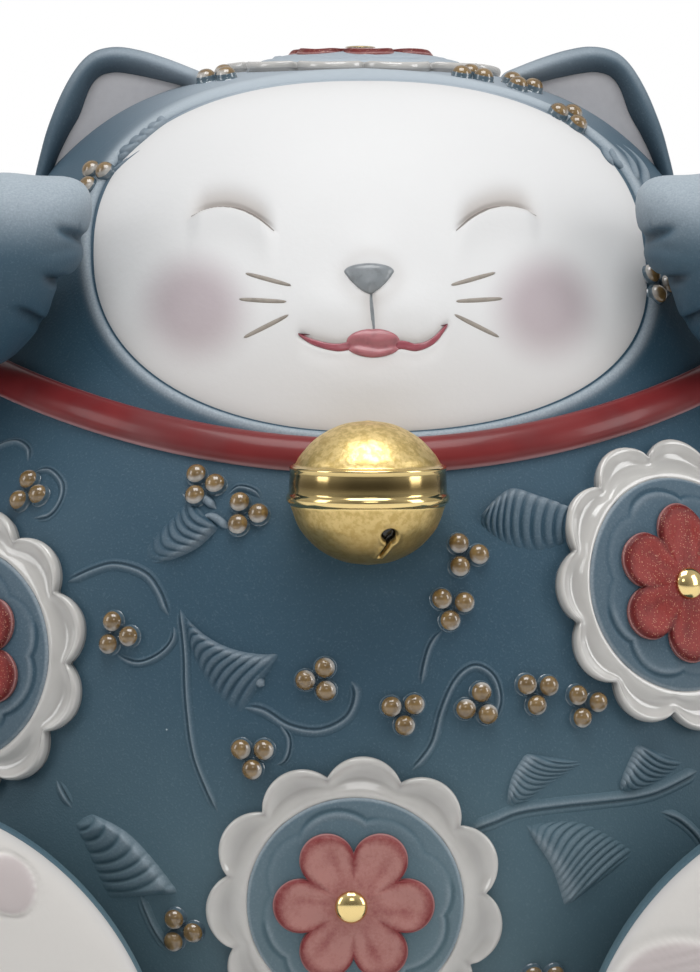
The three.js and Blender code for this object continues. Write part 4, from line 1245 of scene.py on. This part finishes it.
# Near edge, far edge, number of ribs, slant, bow, height, share of the length that rises.
LEAVES = [
    ([(-20.0, 97.5), (-17.3, 93.9), (-14.4, 91.8), (-11.2, 91.0), (-8.9, 91.4)],
     [(-19.7, 96.5), (-18.8, 91.0), (-17.2, 85.9), (-15.2, 82.0), (-13.2, 79.4)],
     12, 0.06, 0.06, 1.7, 0.3),
    ([(-23.9, 105.1), (-21.1, 106.2), (-18.4, 108.3), (-16.2, 111.6)],
     [(-25.2, 106.9), (-23.8, 110.3), (-22.0, 113.9), (-20.4, 117.2)], 8, 0.05, 0.16, 1.9, 0.5),
    ([(23.8, 113.9), (21.4, 116.0), (19.0, 117.4), (16.4, 118.5), (14.0, 116.4), (12.2, 113.6)],
     [(23.4, 109.6), (20.5, 107.9), (18.0, 107.2), (15.2, 108.2), (13.3, 110.3), (12.0, 112.6)],
     12, -0.06, -0.08, 2.0, 0.12),
    ([(13.9, 64.8), (14.0, 67.5), (14.5, 70.5), (15.8, 73.9)],
     [(14.5, 64.4), (16.4, 65.7), (19.7, 68.9), (23.1, 71.8)], 11, 0.08, 0.14, 1.2, 0.25),
    ([(26.4, 66.4), (26.5, 68.4), (27.2, 71.2), (28.4, 74.8)],
     [(27.3, 65.9), (30.0, 66.9), (32.8, 68.8), (34.9, 70.9)], 9, 0.08, 0.14, 1.5, 0.25),
    ([(15.6, 61.7), (16.8, 58.5), (18.6, 53.6), (20.1, 46.3)],
     [(17.5, 61.9), (21.7, 62.0), (25.5, 59.7), (29.1, 56.3)], 13, 0.1, 0.08, 1.2, 0.25),
    ([(-29.5, 63.2), (-25.4, 60.2), (-22.4, 55.8), (-19.3, 49.6)],
     [(-31.8, 61.5), (-30.6, 57.6), (-29.4, 53.2), (-28.0, 48.0)], 8, -0.15, -0.08, 1.9, 0.2),
    ([(-52.2, 171.6), (-50.6, 174.2), (-49.2, 176.6), (-48.4, 179.6)],
     [(-56.5, 172.6), (-56.2, 175.6), (-55.0, 178.4), (-53.4, 181.0)], 6, 0.0, 0.15, 1.1, 0.2),
]
# Line, half width.
FINGERS = [
    ([(59.2, 175.3), (57.4, 173.8), (56.3, 172.6), (56.4, 171.2)], 1.0),
    ([(63.3, 175.8), (60.4, 174.0), (58.4, 172.2), (59.4, 170.2)], 1.1),
    ([(65.9, 175.9), (66.6, 173.6), (63.6, 171.0), (59.8, 168.4)], 1.2),
    ([(69.4, 175.8), (71.2, 173.2), (67.5, 170.2), (61.8, 167.4)], 1.3),
    ([(-21.6, 117.6), (-19.8, 115.8), (-18.6, 116.4), (-17.0, 114.8)], 0.9),
    ([(-19.3, 112.6), (-17.8, 113.6), (-16.6, 113.0), (-15.4, 111.6)], 0.9),
    ([(-12.6, 85.2), (-11.8, 86.2), (-10.9, 85.4)], 1.0),
]
# Line, side of the high bank, width.
VINES = [
    ([(-34.3, 101.7), (-30.4, 104.5), (-27.7, 105.4), (-24.4, 104.1), (-22.5, 101.1),
     (-21.0, 96.2)], -1, 1.0),
    ([(-21.0, 95.8), (-20.9, 93.0), (-22.2, 90.5), (-24.4, 89.0), (-26.4, 89.8), (-27.4, 91.0)],
     1, 0.8),
    ([(-51.5, 121.2), (-49.4, 124.0), (-46.7, 125.0), (-43.9, 123.6), (-43.0, 120.8)], -1, 0.8),
    ([(-42.6, 119.6), (-39.6, 120.6), (-36.9, 118.5), (-36.2, 115.6), (-37.3, 112.7),
     (-40.3, 112.0)], -1, 0.8),
    ([(-20.4, 98.9), (-19.6, 91.2), (-19.2, 82.7), (-18.3, 73.5), (-16.4, 65.9), (-15.4, 63.0)],
     1, 0.9),
    ([(-13.9, 81.9), (-11.1, 81.6), (-8.2, 78.9), (-5.2, 78.2), (-2.6, 80.3), (-1.7, 84.0),
     (-2.4, 86.9)], -1, 1.0),
    ([(-9.8, 80.4), (-8.2, 76.6), (-8.6, 72.8), (-10.4, 71.2)], -1, 0.7),
    ([(-16.4, 116.6), (-14.9, 118.6), (-12.7, 117.9), (-11.7, 115.8)], -1, 0.8),
    ([(8.0, 95.6), (6.3, 93.0), (5.4, 89.0), (5.0, 84.6)], 1, 0.8),
    ([(12.5, 78.2), (13.5, 82.8), (12.8, 87.0), (10.8, 88.8), (8.7, 86.6), (7.1, 81.3), (6.0, 75.4),
     (3.6, 70.4)], 1, 0.9),
    ([(9.6, 60.2), (12.7, 62.0), (15.3, 63.5), (19.7, 64.3), (24.2, 64.7), (28.8, 65.2),
     (31.9, 66.3), (36.8, 69.2)], 1, 1.25),
    ([(-33.9, 69.3), (-32.6, 66.2), (-31.2, 62.8)], -1, 1.0),
    ([(-24.4, 50.0), (-23.7, 46.7), (-22.9, 43.6), (-21.7, 40.6), (-20.0, 38.8)], 1, 1.0),
    ([(30.6, 62.8), (33.8, 60.6), (36.5, 56.6), (37.6, 52.0)], 1, 1.0),
    ([(-47.0, 175.4), (-49.6, 173.6), (-52.0, 171.4), (-54.0, 169.2)], 1, 0.7),
    ([(44.0, 176.8), (48.0, 175.9), (52.0, 173.8)], -1, 0.7),
]


def leaves_and_vines():
    """One mesh for all the leaves with their loose rolls of slip, and one for the vines."""
    leaves, vines = Clay(), Clay()
    for edges in LEAVES:
        leaf(leaves, *edges)
    for line, width in FINGERS:
        finger(leaves, line, width)
    for line, ridge, width in VINES:
        vine(vines, line, ridge, width)
    leaves.fired("modelled_leaves", BLUE, "blue_bisque")
    vines.fired("modelled_vines", BLUE, "blue_bisque")


body_casting()
head_casting()
face_plate()
face_features()
ears()
arms()
legs()
tail()
collar()
bell()
for medallion_name, medallion_place in MEDALLIONS.items():
    medallion(medallion_name, *medallion_place)
bead_clusters()
leaves_and_vines()

# ---- studio ----


def stage_plane(name, points, colour, roughness=0.8):
    mesh = bpy.data.meshes.new(name)
    mesh.from_pydata(points, [], [(0, 1, 2, 3)])
    plane = bpy.data.objects.new(name, mesh)
    bpy.context.scene.collection.objects.link(plane)
    paper = Glaze(f"{name}_paper", Roughness=roughness)
    grain = paper.speckle(40.0, 2.0)
    paper.feed(Base_Color=paper.blend(grain * 0.05, colour, tuple(0.9 * c for c in colour)))
    mesh.materials.append(paper.material)
    return plane


def soft_light(name, place, target, width, height, power, colour=(1.0, 1.0, 1.0)):
    lamp = bpy.data.lights.new(name, "AREA")
    lamp.shape, lamp.size, lamp.size_y = "RECTANGLE", width, height
    lamp.energy, lamp.color = power, colour
    holder = bpy.data.objects.new(name, lamp)
    bpy.context.scene.collection.objects.link(holder)
    holder.location = place
    holder.rotation_mode = "QUATERNION"
    holder.rotation_quaternion = (Vector(target) - Vector(place)).to_track_quat("-Z", "Y")
    return holder


MIDDLE = (-0.0006, 0.0, 0.1135)
stage_plane("floor", [(-4, -4, 0), (4, -4, 0), (4, 4, 0), (-4, 4, 0)], (0.86, 0.86, 0.86))


def studio_world():
    """White to look at; as light, a dim room that brightens upwards and behind the object."""
    world = bpy.data.worlds.new("studio")
    bpy.context.scene.world = world
    world.use_nodes = True
    tree = world.node_tree
    tree.nodes.clear()
    room = Glaze.__new__(Glaze)
    room.tree = tree
    direction = room.node("ShaderNodeSeparateXYZ", {}, room.node("ShaderNodeTexCoord", {}).out("Generated"))
    side = direction.out("X").math("ABSOLUTE").between(0.35, 0.95)
    above = direction.out("Z").between(0.05, 0.95)
    behind = direction.out("Y").between(0.2, 1.0)
    glow = 0.18 + 0.22 * side + 0.30 * above + 0.28 * behind
    seen = room.node("ShaderNodeLightPath", {}).out("Is Camera Ray")
    strength = glow * (1 - seen) + seen
    light = room.node("ShaderNodeBackground", {}, (1.0, 1.0, 1.0, 1.0), strength)
    tree.links.new(light.socket, tree.nodes.new("ShaderNodeOutputWorld").inputs["Surface"])


studio_world()
soft_light("overhead", (0.0, -0.30, 0.95), MIDDLE, 0.6, 0.5, 5.5)
soft_light("front", (0.05, -1.50, 0.85), MIDDLE, 0.50, 0.35, 1.4)
soft_light("left", (-1.35, -0.50, 0.65), MIDDLE, 0.5, 0.9, 4.6)
soft_light("right", (1.35, -0.50, 0.60), MIDDLE, 0.5, 0.9, 6.3)
bpy.context.scene.view_settings.view_transform = "Standard"

# ---- camera ----

AZIMUTH = math.radians(-2)
ELEVATION = math.radians(4)
DISTANCE = 1.5
FOCAL_LENGTH = 311.1
SENSOR_WIDTH = 36.0
eye_direction = Vector(
    (
        math.sin(AZIMUTH) * math.cos(ELEVATION),
        -math.cos(AZIMUTH) * math.cos(ELEVATION),
        math.sin(ELEVATION),
    )
)
camera = bpy.data.cameras.new("camera")
camera.lens = FOCAL_LENGTH
camera.sensor_width = SENSOR_WIDTH
viewer = bpy.data.objects.new("camera", camera)
bpy.context.scene.collection.objects.link(viewer)
viewer.location = Vector(MIDDLE) + eye_direction * DISTANCE
viewer.rotation_mode = "QUATERNION"
viewer.rotation_quaternion = (-eye_direction).to_track_quat("-Z", "Y")
camera.clip_start, camera.clip_end = 0.05, 50.0
bpy.context.scene.camera = viewer
